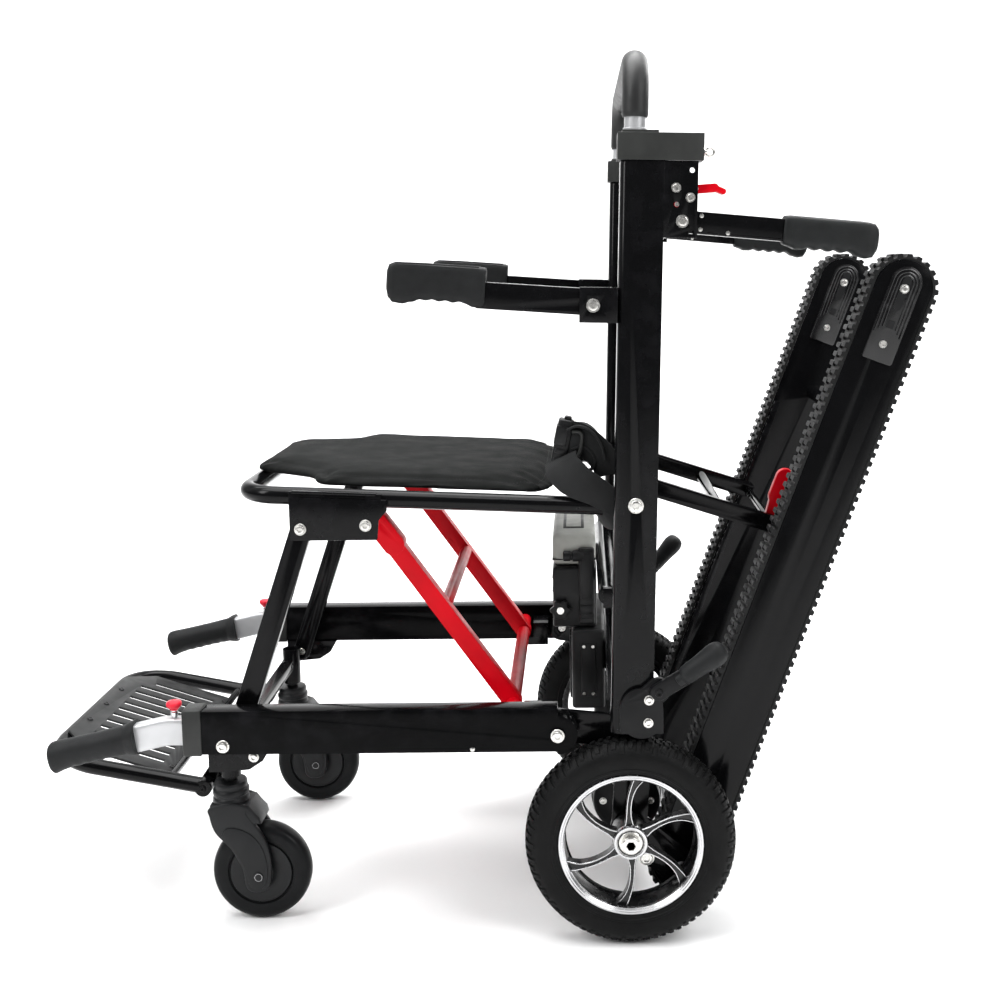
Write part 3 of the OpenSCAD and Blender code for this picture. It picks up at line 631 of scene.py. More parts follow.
for s, n in BOTH:
    b = Bld()
    b.lathe([(r, -h) for r, h in HUB] + [(r, h) for r, h in reversed(HUB)], CW, 64, 1, closed=True)
    b.lathe([(r, -h) for r, h in ROLL_HALF] + [(62.5, 0)] + [(r, h) for r, h in reversed(ROLL_HALF)], CW, 80, 0, closed=True)
    b.obj("caster_roll_" + n, [PU, FORK], "caster_" + n, "caster_wheel_" + n, mirror=s > 0, angle=34)

    b = Bld()
    for y0, y1, q0, q1 in ((-195.6, -188.2, -196.8, -195.0), (-155.8, -148.4, -149.0, -147.2)):
        b.prism([(CAX.x + x, CAX.z + z) for x, z in spline(LEG, 4)], y0, y1, 2.2, 3)
        b.prism([(CAX.x + x, CAX.z + z) for x, z in spline(PANEL, 4)], q0, q1, 0.8, 2)
    b.prism([(CAX.x + x, CAX.z + z) for x, z in CROWN], -194.6, -149.4, 3.0, 3)
    b.lathe([(0, 138), (22.0, 138), (22.9, 144), (23.0, 157), (22.2, 160.6), (21.2, 161.8), (21.2, 163.6), (22.4, 164.8), (22.6, 169.0), (21.4, 171.2),
             (20.2, 172.0), (20.0, 173.4), (20.5, 174.4), (20.5, 178.2), (19.4, 180.4), (15.8, 181), (8, 181), (8, 232), (0, 232)], T(CASTER.x, -172, 0), 56, 0)
    b.lathe([(0, -26), (4.9, -26), (4.9, 26), (0, 26)], CW, 20, 1)
    for y, M in ((-196.9, FACE), (-147.1, RX(-90))):
        b.lathe([(0, 0), (6.4, 0), (6.0, 0.9), (3, 1.3), (0, 1.3)], T(CAX.x, y, CAX.z) @ M, 28, 0)
    b.obj("fork_" + n, [FORK, STEEL], "fork_" + n, "caster_fork_" + n, mirror=s > 0, angle=34)
# ------------------------------------------------------------------ tracks
def stadium(r, step=None, n=36):
    """Closed outline round both pulleys at radius r, in the track's own X-Z plane."""
    pts = [(r * math.cos(D(a)), TLEN + r * math.sin(D(a))) for a in [180.0 * k / n for k in range(n + 1)]]
    pts += [(r * math.cos(D(a)), r * math.sin(D(a))) for a in [180.0 + 180.0 * k / n for k in range(n + 1)]]
    return pts


def along(r, d):
    """Point, direction and outward normal at distance d along the belt at radius r, starting up the rear run."""
    arc = math.pi * r
    d %= 2 * (TLEN + arc)
    if d < TLEN:
        return Vector((r, 0, d)), Vector((0, 0, 1)), Vector((1, 0, 0))
    d -= TLEN
    if d < arc:
        a = d / r
        c, s_ = math.cos(a), math.sin(a)
        return Vector((r * c, 0, TLEN + r * s_)), Vector((-s_, 0, c)), Vector((c, 0, s_))
    d -= arc
    if d < TLEN:
        return Vector((-r, 0, TLEN - d)), Vector((0, 0, -1)), Vector((-1, 0, 0))
    d -= TLEN
    a = math.pi + d / r
    c, s_ = math.cos(a), math.sin(a)
    return Vector((r * c, 0, r * s_)), Vector((-s_, 0, c)), Vector((c, 0, s_))


def belt(b, yc):
    R0, R1 = 35.05, 38.3
    M = TRK @ T(0, yc, 0)
    arc = math.pi * R1
    total = 2 * (TLEN + arc)
    # the band, with softly rounded edges
    sec = [(-22, 0.6), (-21.4, 0), (21.4, 0), (22, 0.6), (22, 2.6), (21.2, 3.25), (-21.2, 3.25), (-22, 2.6)]
    rings = []
    ds = [TLEN * k / 40 for k in range(40)] + [TLEN + arc * k / 24 for k in range(24)]
    ds += [TLEN + arc + d for d in ds]
    for d in ds:
        p, t, nrm = along(R1, d)
        base = p - nrm * (R1 - R0)
        rings.append([base + Vector((0, y, 0)) + nrm * h for y, h in sec])
    b.rings(rings, M, 0, True, True)
    # lugs: bars across the belt, notched in the middle, the two halves staggered a little along the belt
    N = round(total / 11.6)
    for i in range(N):
        p, t, nrm = along(R1, total * i / N)
        for y0, y1 in ((-21.9, -2.2), (2.2, 21.9)):
            k = t * (1.3 if y0 > 0 else -1.3)
            pts = []
            for y in (y0, y1):
                for a, h in ((-3.7, -0.5), (3.7, -0.5), (3.1, 2.6), (2.4, 3.65), (-2.4, 3.65), (-3.1, 2.6)):
                    pts.append(p + k + t * a + nrm * h + Vector((0, y, 0)))
            fs = [tuple(range(6)), tuple(range(11, 5, -1))] + [(j, (j + 1) % 6, 6 + (j + 1) % 6, 6 + j) for j in range(6)]
            b.add(pts, fs, M, 0)


b = Bld()
belt(b, -168)
both_sides(b)
b.obj("track_belt_pair", BELT, "tracks", "track_belts", angle=28)


def tensioner(b, y_out, out):
    """The ribbed slide plate at the top of a track; out is -1 or 1, the way it faces."""
    th = 2.6
    y0, y1 = sorted((y_out, y_out + out * th))
    top = [(-19, TLEN - 90), (-17, TLEN - 92), (17, TLEN - 92), (19, TLEN - 90)] + [(19 * math.cos(D(a)), TLEN + 8 + 19 * math.sin(D(a))) for a in range(0, 181, 9)]
    b.prism(top, y0, y1, 0.8, 2, TRK, 0)
    yr = y_out + out * th
    for w in (16.2, 12.2, 8.4):
        path = [(w, yr, TLEN - 58 + (16 - w)), (w, yr, TLEN + 8)] + [(w * math.cos(D(a)), yr, TLEN + 8 + w * math.sin(D(a))) for a in range(15, 180, 15)] + [(-w, yr, TLEN + 8), (-w, yr, TLEN - 58 + (16 - w))]
        b.tube(path, 1.25, 8, TRK, 0)
    # slot with its bolt, square window and the fixing bolt below
    b.prism([(4.8 * math.cos(D(a)), TLEN + 14 + 4.8 * math.sin(D(a))) for a in range(0, 181, 15)] + [(4.8 * math.cos(D(a)), TLEN - 22 + 4.8 * math.sin(D(a))) for a in range(180, 361, 15)],
            *sorted((yr - out * 0.2, yr + out * 0.5)), 0.2, 1, TRK, 1)
    b.box((-4.4, min(yr, yr + out * 0.5) - 0.1, TLEN - 50), (4.4, max(yr, yr + out * 0.5), TLEN - 40), 0.2, 1, TRK, 1)
    F = FACE if out < 0 else RX(-90)
    b.hexbolt(TRK @ T(0, yr + out * 0.1, TLEN) @ F, 9, 3.0, 2)
    b.hexbolt(TRK @ T(0, yr, TLEN - 70) @ F, 7.5, 2.4, 2)


b = Bld()
tensioner(b, -190.1, -1)
tensioner(b, -145.9, 1)
both_sides(b)
b.obj("tensioner_set", [TENSION, CASE, ZINC], "tracks", "tensioner_plates", angle=34)
# ------------------------------------------------------------------ grips and handles
def loft(b, stations, M, mi=0, n=36, e=3.0):
    """Closed loft of rounded rectangles: (x, half width, low z, high z) along local X."""
    rings = []
    for x, hw, lo, hi in stations:
        mid, hh = (lo + hi) / 2, (hi - lo) / 2
        rings.append([(x, y, mid + z) for y, z in squircle(hw, hh, n, e)])
    b.rings(rings, M, mi, cap0=True, cap1=True)


def lerp_at(table, x):
    for (x0, *a), (x1, *c) in zip(table, table[1:]):
        if x0 <= x <= x1:
            k = (x - x0) / (x1 - x0)
            k = k * k * (3 - 2 * k)
            return [p + (q - p) * k for p, q in zip(a, c)]
    return list(table[-1][1:])


def grip_loft(b, table, M, mi, x0, x1, step, scallop, e=3.2):
    """A moulded grip whose half width, underside and top follow a table, with finger scallops below."""
    n = round((x1 - x0) / step)
    st = []
    for k in range(n + 1):
        x = x0 + (x1 - x0) * k / n
        hw, lo, hi = lerp_at(table, x)
        lo += scallop(x)
        st.append((x, hw, lo, hi))
    loft(b, st, M, mi, 40, e)


ARM_TILT, GRIP_TILT = 4.2, 5.5
for s, n in BOTH:
    # armrest: round-cornered bar and a moulded grip with four finger scallops and a hooked front
    M = T(P_ARM.x, -227, P_ARM.z) @ RY(ARM_TILT)
    b = Bld()
    table = [(-241.0, 8.0, 3, 27), (-238.5, 11.6, -6, 33.6), (-233, 12.8, -11.0, 35.6), (-222, 13, -12.0, 36), (-213, 13, -9.6, 36), (-196, 13, -6.8, 36),
             (-150, 13, -7.6, 36), (-139, 13, -11.2, 36), (-131, 13, -12.0, 36), (-127.6, 12.6, -10.4, 35.4), (-126.2, 11.6, -8.4, 34)]
    grip_loft(b, table, M, 0, -241.0, -126.2, 1.15, lambda x: 1.7 * (0.5 - 0.5 * math.cos((x + 211) / 15.8 * 2 * math.pi)) if -211 < x < -148 else 0.0, 4.4)
    # parting ridge along the top edges
    for y in (-11.0, 11.0):
        b.tube([(-232, y, 35.2), (-200, y, 35.8), (-134, y, 35.8)], 0.9, 8, M, 0)
    b.obj("armrest_grip_form_" + n, GRIP, "armrest_" + n, "armrest_grip_" + n, mirror=s > 0, angle=42)

    # rear handle grip: bulging end, scallops along the underside
    M = T(P_GRIP.x, -222, P_GRIP.z) @ RY(GRIP_TILT)
    b = Bld()
    table = [(118.1, 13.2, -15.2, 16.0), (119.6, 14.6, -16.8, 17.4), (126, 15, -18.2, 18), (133, 15, -20.8, 18), (142, 15, -20.4, 18), (200, 15, -20.4, 18),
             (206, 15, -22.8, 18), (216, 15, -24.6, 17.6), (223, 14.2, -23.0, 16.4), (227.2, 11.6, -17.0, 12.6), (229, 8.0, -11.0, 8.0)]
    grip_loft(b, table, M, 0, 118.1, 229.0, 1.1, lambda x: 2.3 * (0.5 - 0.5 * math.cos((x - 141) / 15.5 * 2 * math.pi)) if 141 < x < 203 else 0.0, 3.8)
    b.obj("rear_grip_form_" + n, GRIP_GREY, "rear_handle_" + n, "rear_handle_grip_" + n, mirror=s > 0, angle=42)

    # bar of the rear handle, with its inner tongue, screws and a pressed line
    b = Bld()
    b.prism([(118.4, -13), (118.4, 13), (2, 13)] + [(13 * math.cos(D(a)), 13 * math.sin(D(a))) for a in range(99, 262, 9)] + [(2, -13)], -11, 11, 1.3, 2, M, 0)
    for x, z in ((22, 8.2), (22, -7.4), (54, -9.0)):
        b.lathe([(0, 0), (2.6, 0), (2.4, 0.9), (1.2, 1.2), (0, 1.2)], M @ T(x, -11, z) @ FACE, 18, 1)
        b.lathe([(0, 0), (2.6, 0), (2.4, 0.9), (1.2, 1.2), (0, 1.2)], M @ T(x, 11, z) @ RX(-90), 18, 1)
    b.box((30, -11.5, -10.8), (116, 11.5, -9.6), 0.3, 1, M, 0)
    b.obj("rear_bar_form_" + n, [BLACK, ZINC], "rear_handle_" + n, "rear_handle_bar_" + n, mirror=s > 0)

    # carry grip: tapered rubber with a slanted inner flange and a hooked tip
    M = T(-566, -223, 265.5) @ RY(-13)
    b = Bld()
    rings = []
    for k in range(111):
        x = -34.2 - 110.6 * k / 110
        u = (-34.2 - x) / 110.6
        hw, hz, off = 16.4, 18.0, 0.0
        if u < 0.12:
            f = math.cos(u / 0.12 * math.pi / 2)
            hw, hz = 16.4 + 2.4 * f, 18.0 + 3.0 * f
        taper = 1.0 - 0.05 * math.sin(math.pi * u)
        hw, hz = hw * taper, hz * taper
        if u > 0.8:
            f = (u - 0.8) / 0.2
            off -= 2.6 * f * f
            hz += 1.6 * f
            hw += 0.6 * f
        if u > 0.945:
            f = (u - 0.945) / 0.055
            q = math.sqrt(max(0.0, 1 - 0.72 * f * f))
            hw, hz = hw * q, hz * q
        lean = 0.10 * (1 - u) * 20 if u < 0.12 else 0.0
        ripple = 0.7 * (0.5 - 0.5 * math.cos((u - 0.2) / 0.6 * 10 * math.pi)) if 0.2 < u < 0.8 else 0.0
        ring = []
        for y, z in squircle(hw, hz, 40, 2.3):
            zz = z + (ripple if z < -hz * 0.5 else 0.0)
            ring.append((x + (z / hz) * lean, y, zz + off))
        rings.append(ring)
    b.rings(rings, M, 0, cap0=True, cap1=True)
    b.obj("carry_grip_form_" + n, GRIP, "carry_" + n, "carry_grip_" + n, mirror=s > 0, angle=46)

    # pull knob: steel stem, red mushroom head
    b = Bld()
    K = T(-553, -223, 0)
    b.lathe([(0, 266), (3.5, 266), (3.5, 284), (4.4, 284.6), (4.5, 289), (3.9, 289.6), (3.4, 290), (3.4, 293.5), (0, 293.5)], K, 28, 1)
    b.lathe([(0, 291.6), (4.6, 291.6), (5.4, 292.6), (6.6, 294.4), (8.8, 296.4), (9.4, 298.4), (9.2, 300.6), (7.8, 302.2), (5.0, 303.0), (0, 303.3)], K, 40, 0)
    b.obj("pull_knob_" + n, [RED_KNOB, POLISH], "knob_" + n, "carry_knob_" + n, mirror=s > 0, angle=44)

    # bright square tube of the carry handle: radiused corners and a smooth bend
    b = Bld()
    path = [(-331, 0, 265.5), (-400, 0, 265.5), (-470, 0, 265.5), (-530, 0, 265.5)]
    for k in range(9):
        a = D(13.0 * k / 8)
        path.append((-556 - 62 * math.sin(a), 0, 265.5 - 62 * (1 - math.cos(a))))
    a = D(13.0)
    end = Vector(path[-1])
    path += [tuple(end + Vector((-math.cos(a), 0, -math.sin(a))) * d) for d in (8, 24, 40)]
    b.tube(path, 0, 40, T(0, -223, 0), 0, sec=lambda t: squircle(17.0, 9.0, 40, 5.5), up=(0, 0, 1))
    b.obj("carry_tube_form_" + n, ALU, "carry_" + n, "carry_tube_" + n, mirror=s > 0, angle=30)

    # brake lever: flat arm, then a slim neck into a bulbous grip
    R = T(P_LEVER.x, 0, P_LEVER.z) @ RY(-14 if s > 0 else 0) @ T(-P_LEVER.x, 0, -P_LEVER.z)
    b = Bld()
    ax = Vector((101 - 56, 0, 363 - 331)).normalized()
    nm = Vector((-ax.z, 0, ax.x))
    arm = []
    for a in range(0, 181, 12):
        q = math.atan2(18, 30) + math.pi / 2 + D(a)
        arm.append((P_LEVER.x + 10 * math.cos(q), P_LEVER.z + 10 * math.sin(q)))
    for a in range(0, 181, 12):
        q = math.atan2(18, 30) - math.pi / 2 + D(a)
        arm.append((64 + 10 * math.cos(q), 336 + 10 * math.sin(q)))
    b.prism(arm, -254, -245.8, 1.4, 2, R, 0)
    prof = [(4.5, 0), (7.6, 0.8), (8.0, 3), (8.0, 8), (10.0, 10), (11.4, 13), (11.7, 20), (12.2, 32), (13.4, 44), (14.3, 52), (14.3, 57.5), (13.0, 63), (10.2, 67.2), (5.8, 69.4), (0, 70.1)]
    b.lathe(prof, R @ T(56, -250, 331) @ Vector((0, 0, 1)).rotation_difference(ax).to_matrix().to_4x4(), 36, 1)
    b.obj("brake_form_" + n, [BLACK_SATIN, GRIP], "brake_" + n, "brake_lever_" + n, mirror=s > 0, angle=40)

# push bar: one rubber sleeve over the bow, with end collars on the bright tubes
b = Bld()
PZ = 681 + 34 + 99 - 17 - 46
bow = [(-9, -222, 730.2), (-9, -222, 733.5)] + [(-9, -222, 733.5 + (PZ - 733.5) * k / 6) for k in range(1, 7)]
bow += [(-9, -176 - 46 * math.cos(D(a)), PZ + 46 * math.sin(D(a))) for a in range(6, 90, 6)]
bow += [(-9, -176 + 352 * k / 24, PZ + 46) for k in range(25)]
bow += [(-9, 176 + 46 * math.cos(D(a)), PZ + 46 * math.sin(D(a))) for a in range(84, 0, -6)]
bow += [(-9, 222, 733.5 + (PZ - 733.5) * k / 6) for k in range(6, -1, -1)] + [(-9, 222, 730.2)]
radii = [14.4] + [15.5] * (len(bow) - 2) + [14.4]
b.tube(bow, radii, 40, COL, 0, up=(1, 0, 0))
b.obj("push_sleeve", SLEEVE, "push_handle", "push_handle_sleeve", angle=50)
b = Bld()
for y in (-222, 222):
    b.lathe([(0, 420), (12.0, 420), (12.5, 421), (12.5, 746.4), (0, 746.4)], COL @ T(-9, y, 0), 40, 0)
    b.lathe([(12.0, 713), (13.6, 713.2), (13.9, 714), (13.9, 717.4), (13.2, 718.2), (12.0, 718.4)], COL @ T(-9, y, 0), 40, 0, closed=True)
b.obj("push_tubes", ALU, "push_handle", "push_handle_tube", angle=40)
# ------------------------------------------------------------------ bolts
b = Bld()


def ypin(p, y0, y1, d, mi=0):
    b.lathe([(0, 0), (d / 2 - 0.4, 0), (d / 2, 0.4), (d / 2, abs(y1 - y0) - 0.4), (d / 2 - 0.4, abs(y1 - y0)), (0, abs(y1 - y0))], T(p.x, max(y0, y1), p.z) @ FACE, 24, mi)


def head(p, y, d, h, **k):
    b.hexbolt(T(p.x, y, p.z) @ FACE, d, h, 0, **k)


ypin(P_SEAT, -183, -239.5, 11.9)
head(P_SEAT, -239.1, 14.4, 5.0)
ypin(P_RAIL, -197, -238.5, 11.9)
head(P_RAIL, -238.3, 13.2, 4.4)
ypin(P_ARM, -215, -241.2, 9.9)
head(P_ARM, -241.0, 12.4, 4.6)
ypin(P_LEVER, -245, -254.2, 9.9, 1)
b.hexbolt(T(P_LEVER.x, -254.1, P_LEVER.z) @ FACE, 9.4, 3.0, 1, washer=False)
for p in (Vector((23, 0, 306)), Vector((22, 0, 278))):
    head(p, -245.0, 9.4, 4.4)
head(Vector((21, 0, 89)), -205.0, 16, 5.2)
head(col(47, 612), -239.0, 11.6, 5.0)
ypin(col(47, 612), -239, -205, 10.9)
for x, z in ((39, 650), (55.5, 639)):
    head(col(x, z), -239.0, 8.8, 4.2)
head(col(40, 631), -238.9, 5.4, 1.8, washer=False)
ypin(col(62, 649), -235, -213, 5.9)
# eye bolt at the back of the column cap: nut, shank and ring
E = COL @ T(70.02, -222, 692) @ RY(90)
b.lathe([(0, 0), (5.0, 0), (5.2, 0.5), (5.2, 2.2), (4.8, 2.6), (0, 2.6)], E, 6, 0)
b.lathe([(0, 2.4), (2.4, 2.4), (2.4, 5.2), (0, 5.2)], E, 18, 0)
ring = [(4.6 + 1.5 * math.cos(D(a)), 1.5 * math.sin(D(a))) for a in range(0, 360, 30)]
b.lathe(ring, COL @ T(78.5, -222, 692) @ FACE, 32, 0, closed=True)
both_sides(b)
b.obj("chassis_bolt_set", [ZINC, BLACK_SATIN], "chassis", "chassis_bolts", angle=32)

b = Bld()
head(Vector((-492, 0, 249.5)), -236.0, 12.4, 5.2)
head(Vector((-461, 0, 227)), -214.0, 10, 4.2)
ypin(P_FOOT, -206.5, -187.2, 9.9)
ypin(P_FLIP, -173, -148.5, 7.9, 1)
b.hexbolt(T(P_FLIP.x, -173.0, P_FLIP.z) @ FACE, 7.6, 2.6, 1, washer=False)
b.lathe([(0, 0), (3.0, 0), (2.7, 1.1), (1.4, 1.7), (0, 1.8)], T(-190, -236.0, 243.5) @ FACE, 20, 0)
both_sides(b)
b.obj("base_bolt_set", [ZINC, BLACK_SATIN], "base_frame", "base_bolts", angle=32)

# seat brackets: folded plate, with bright bolts where the legs and the brace hang
b = Bld()
PLATE = [(-408, 497.2), (-406.8, 496), (-303.4, 496), (-302, 497.4), (-300, 520), (-290, 532), (-290, 545), (-408, 550)]
b.prism(PLATE, -209.4, -206.4, 0.7, 2, None, 0)
b.box((-418, -206.6, -8), (-306, -200.4, 8), 1.0, 2, SEAT, 0)
b.box((-414, -209.2, 6), (-312, -200.4, 9.4), 1.0, 2, SEAT, 0)
for p in (P_LEG, P_BRACE):
    head2 = T(p.x, -209.3, p.z) @ FACE
    b.hexbolt(head2, 11.4, 4.4, 1)
ypin(P_LEG, -209.4, -187, 9.9, 1)
ypin(P_BRACE, -209.4, -143, 9.9, 1)
both_sides(b)
b.obj("seat_bracket_pair", [BLACK, ZINC], "seat", "seat_brackets", angle=34)
# ------------------------------------------------------------------ seat, back and belt
def puffed(ob, voxel, pressure, cap, hold):
    """Fills a closed pad with a little air, so its faces swell softly between the held parts."""
    md = ob.modifiers.new("vox", "REMESH")
    md.mode, md.voxel_size = "VOXEL", voxel
    applied(ob)
    rest = [v.co.copy() for v in ob.data.vertices]
    g = ob.vertex_groups.new(name="held")
    for v in ob.data.vertices:
        if hold(v.co):
            g.add([v.index], 1.0, "REPLACE")
    c = ob.modifiers.new("cloth", "CLOTH")
    st = c.settings
    st.quality, st.mass = 5, 0.25
    st.tension_stiffness = st.compression_stiffness = st.shear_stiffness = 14
    st.bending_stiffness = 1.2
    st.use_pressure = True
    st.uniform_pressure_force = pressure
    st.vertex_group_mass = "held"
    st.effector_weights.gravity = 0.0
    for f in range(1, 21):
        bpy.context.scene.frame_set(f)
    applied(ob)
    bpy.context.scene.frame_set(1)
    ob.vertex_groups.clear()
    for v, r0 in zip(ob.data.vertices, rest):
        d = v.co - r0
        if d.length > cap:
            v.co = r0 + d * (cap / d.length)
    return rest


def finish_soft(ob, mat, body, node, angle=60):
    md = ob.modifiers.new("sub", "SUBSURF")
    md.levels = md.render_levels = 1
    applied(ob)
    ob.data.materials.clear()
    ob.data.materials.append(mat)
    ob.data.polygons.foreach_set("use_smooth", [True] * len(ob.data.polygons))
    ob.data.set_sharp_from_angle(angle=D(angle))
    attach(ob, body)
    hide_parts(node)
    return ob


def edge_distance(p, poly):
    best = 1e9
    for (x0, y0), (x1, y1) in zip(poly, poly[1:] + poly[:1]):
        dx, dy = x1 - x0, y1 - y0
        t = max(0.0, min(1.0, ((p.x - x0) * dx + (p.y - y0) * dy) / (dx * dx + dy * dy)))
        best = min(best, math.hypot(p.x - x0 - t * dx, p.y - y0 - t * dy))
    return best


def soft_object(b, name):
    me = bpy.data.meshes.new(name)
    me.from_pydata([((p.x + SX) * MM, p.y * MM, p.z * MM) for p in b.v], [], b.f)
    w = bmesh.new()
    w.from_mesh(me)
    bmesh.ops.remove_doubles(w, verts=w.verts, dist=2e-6)
    bmesh.ops.recalc_face_normals(w, faces=w.faces)
    w.to_mesh(me)
    w.free()
    ob = bpy.data.objects.new(name, me)
    bpy.context.scene.collection.objects.link(ob)
    return ob


PAD = [(-484, -92), (-485, 0), (-484, 92), (-478, 101), (-440, 119), (-410, 135), (-400, 148), (-393, 171), (-386, 181), (-374, 184), (-250, 182.5), (-126, 184), (-116, 180),
       (-103, 158), (-97, 130), (-95, 90), (-96, 0), (-95, -90), (-97, -130), (-103, -158), (-116, -180), (-126, -184), (-250, -182.5), (-374, -184), (-386, -181), (-393, -171),
       (-400, -148), (-410, -135), (-440, -119), (-478, -101)]
ROW_SEAT = T(SX, 0, 0) @ SEAT
SEAT_INV = ROW_SEAT.inverted()
b = Bld()
b.prism([(x, -y) for x, y in PAD], 11.5, 21.0, 3.2, 3, SEAT @ RX(90), 0)
pad = soft_object(b, "seat_pad")
puffed(pad, 0.0048, 4.0, 0.0045, lambda co: (SEAT_INV @ (co * 1000)).z < 13.0)
for v in pad.data.vertices:
    p = SEAT_INV @ (v.co * 1000)
    if p.z > 15:
        e = edge_distance(p, PAD)
        # crowned top, a stitched hem all round and a few soft creases
        k = min(1.0, e / 60.0)
        dz = 4.4 * k * k * (3 - 2 * k)
        dz -= 1.5 * math.exp(-((e - 15.0) / 2.6) ** 2)
        dz += 0.8 * noise.noise(Vector((p.x * 0.012, p.y * 0.02, 3.1))) * k
        dz += 0.5 * noise.noise(Vector((p.x * 0.05, p.y * 0.035, 7.7))) * (1 - 0.6 * k)
        p.z += dz
        v.co = (ROW_SEAT @ p) * MM
finish_soft(pad, CLOTH, "seat", "seat_sling")
# stitches of the hem
b = Bld()
loop = []
for (x0, y0), (x1, y1) in zip(PAD, PAD[1:] + PAD[:1]):
    k = max(1, round(math.hypot(x1 - x0, y1 - y0) / 4.5))
    loop += [(x0 + (x1 - x0) * i / k, y0 + (y1 - y0) * i / k) for i in range(k)]
for i, (x, y) in enumerate(loop):
    c = Vector((-290, 0))
    # step in from the rim towards the middle of the pad
    a0, a1 = Vector(loop[i - 1]), Vector(loop[(i + 1) % len(loop)])
    t = (a1 - a0).normalized()
    nrm = Vector((-t.y, t.x))
    if nrm.dot(Vector((x, y)) - c) > 0:
        nrm = -nrm
    m = Vector((x, y)) + nrm * 15.0
    top = ROW_SEAT @ Vector((m.x, m.y, 60.0))
    ok, hit, hn, _ = pad.ray_cast(top * MM, (ROW_SEAT.to_3x3() @ Vector((0, 0, -1))).normalized())
    if not ok:
        continue
    h = hit * 1000 - Vector((SX, 0, 0))
    along_ = (SEAT.to_3x3() @ Vector((t.x, t.y, 0))).normalized()
    b.tube([h - along_ * 1.35 - hn * 0.2, h + hn * 0.25, h + along_ * 1.35 - hn * 0.2], [0.22, 0.36, 0.22], 6, None, 0)
b.obj("seat_stitches", WEB, "seat", (), SLOT_OF["seat_sling"], angle=60)

# back panel between the columns: a taut woven panel with hemmed sleeves at the sides
b = Bld()
NX, NZ = 44, 34
front, rear = [], []
for i in range(NZ + 1):
    z = 310.5 + 309 * i / NZ
    for j in range(NX + 1):
        y = -203.6 + 407.2 * j / NX
        u, w = abs(y) / 203.6, abs(z - 465) / 155
        sag = 3.2 * (1 - u ** 4) * (1 - 0.55 * w * w)
        hem = 0.7 * math.exp(-((abs(y) - 186) / 2.4) ** 2) + 0.7 * math.exp(-((abs(z - 465) - 138) / 2.4) ** 2)
        wob = 0.5 * noise.noise(Vector((y * 0.02, z * 0.03, 1.7))) * (1 - u ** 3)
        front.append((6.6 + sag + hem + wob, y, z))
        rear.append((11.4 + sag * 0.6 - hem + wob, y, z))
n = len(front)
fs = []
for i in range(NZ):
    for j in range(NX):
        a = i * (NX + 1) + j
        fs.append((a, a + 1, a + NX + 2, a + NX + 1))
        fs.append((n + a, n + a + NX + 1, n + a + NX + 2, n + a + 1))
rim = [j for j in range(NX + 1)] + [i * (NX + 1) + NX for i in range(1, NZ + 1)] + [NZ * (NX + 1) + j for j in range(NX - 1, -1, -1)] + [i * (NX + 1) for i in range(NZ - 1, 0, -1)]
for a, c in zip(rim, rim[1:] + rim[:1]):
    fs.append((a, n + a, n + c, c))
b.add(front + rear, fs, COL, 0)
back = b.obj("back_panel", CLOTH, "chassis", "back_sling", angle=50)

# lap belt ends: webbing round the seat tube, a buckle half and the folded tail
def band(half, th):
    return [(th, half - 0.4), (th, -half + 0.4), (th - 0.3, -half), (-th + 0.3, -half), (-th, -half + 0.4), (-th, half - 0.4), (-th + 0.3, half), (th - 0.3, half)]


def facing(half, th):
    return [(q, p) for p, q in band(half, th)]


b = Bld()
# broad strap, seen flat, from the seat tube up to the buckle
strap = [(-9, -203.2, 532), (-20, -203.3, 540), (-40, -203.4, 553), (-58, -203.2, 563), (-71, -200, 573), (-79, -192, 582), (-80, -183, 590)]
path = [Vector(p) for p in spline(strap, 6, False)]
b.tube(path, 0, 8, None, 0, sec=lambda t: band(12.5 + 10.0 * min(1.0, t * 1.7), 1.1), up=(0, 1, 0))
# the same webbing folded back under the tube
under = [(-16, -202.8, 522), (-22, -198, 516.6), (-30, -188, 516.4), (-36, -179.5, 524), (-40, -178.4, 542), (-46, -178, 560), (-56, -177, 578), (-64, -175, 592)]
b.tube([Vector(p) for p in spline(under, 5, False)], 0, 8, None, 0, sec=lambda t: band(15.0 + 6.0 * t, 1.0), up=(0, 1, 0))
# tail: two layers that run back from the buckle to the column and hang in a fold
tail = [(-70, -176, 615), (-58, -178, 613), (-46, -179, 606), (-34, -179.5, 595), (-25, -180, 582), (-21, -180, 568)]
b.tube([Vector(p) for p in spline(tail, 6, False)], 0, 8, None, 0, sec=lambda t: band(20.0 - 3.0 * t, 1.1), up=(0, 1, 0))
tail2 = [(-72, -170, 624), (-60, -171, 629), (-48, -172, 627), (-37, -172, 618), (-29, -172, 604), (-25, -172, 588)]
b.tube([Vector(p) for p in spline(tail2, 6, False)], 0, 8, None, 0, sec=lambda t: facing(15.0, 1.2), up=(0, 1, 0))
tail3 = [(-66, -168, 600), (-54, -169, 604), (-44, -169, 598), (-38, -169, 586), (-42, -169, 574), (-52, -170, 570)]
b.tube([Vector(p) for p in spline(tail3, 6, False)], 0, 8, None, 0, sec=lambda t: facing(13.0, 1.2), up=(0, 1, 0))
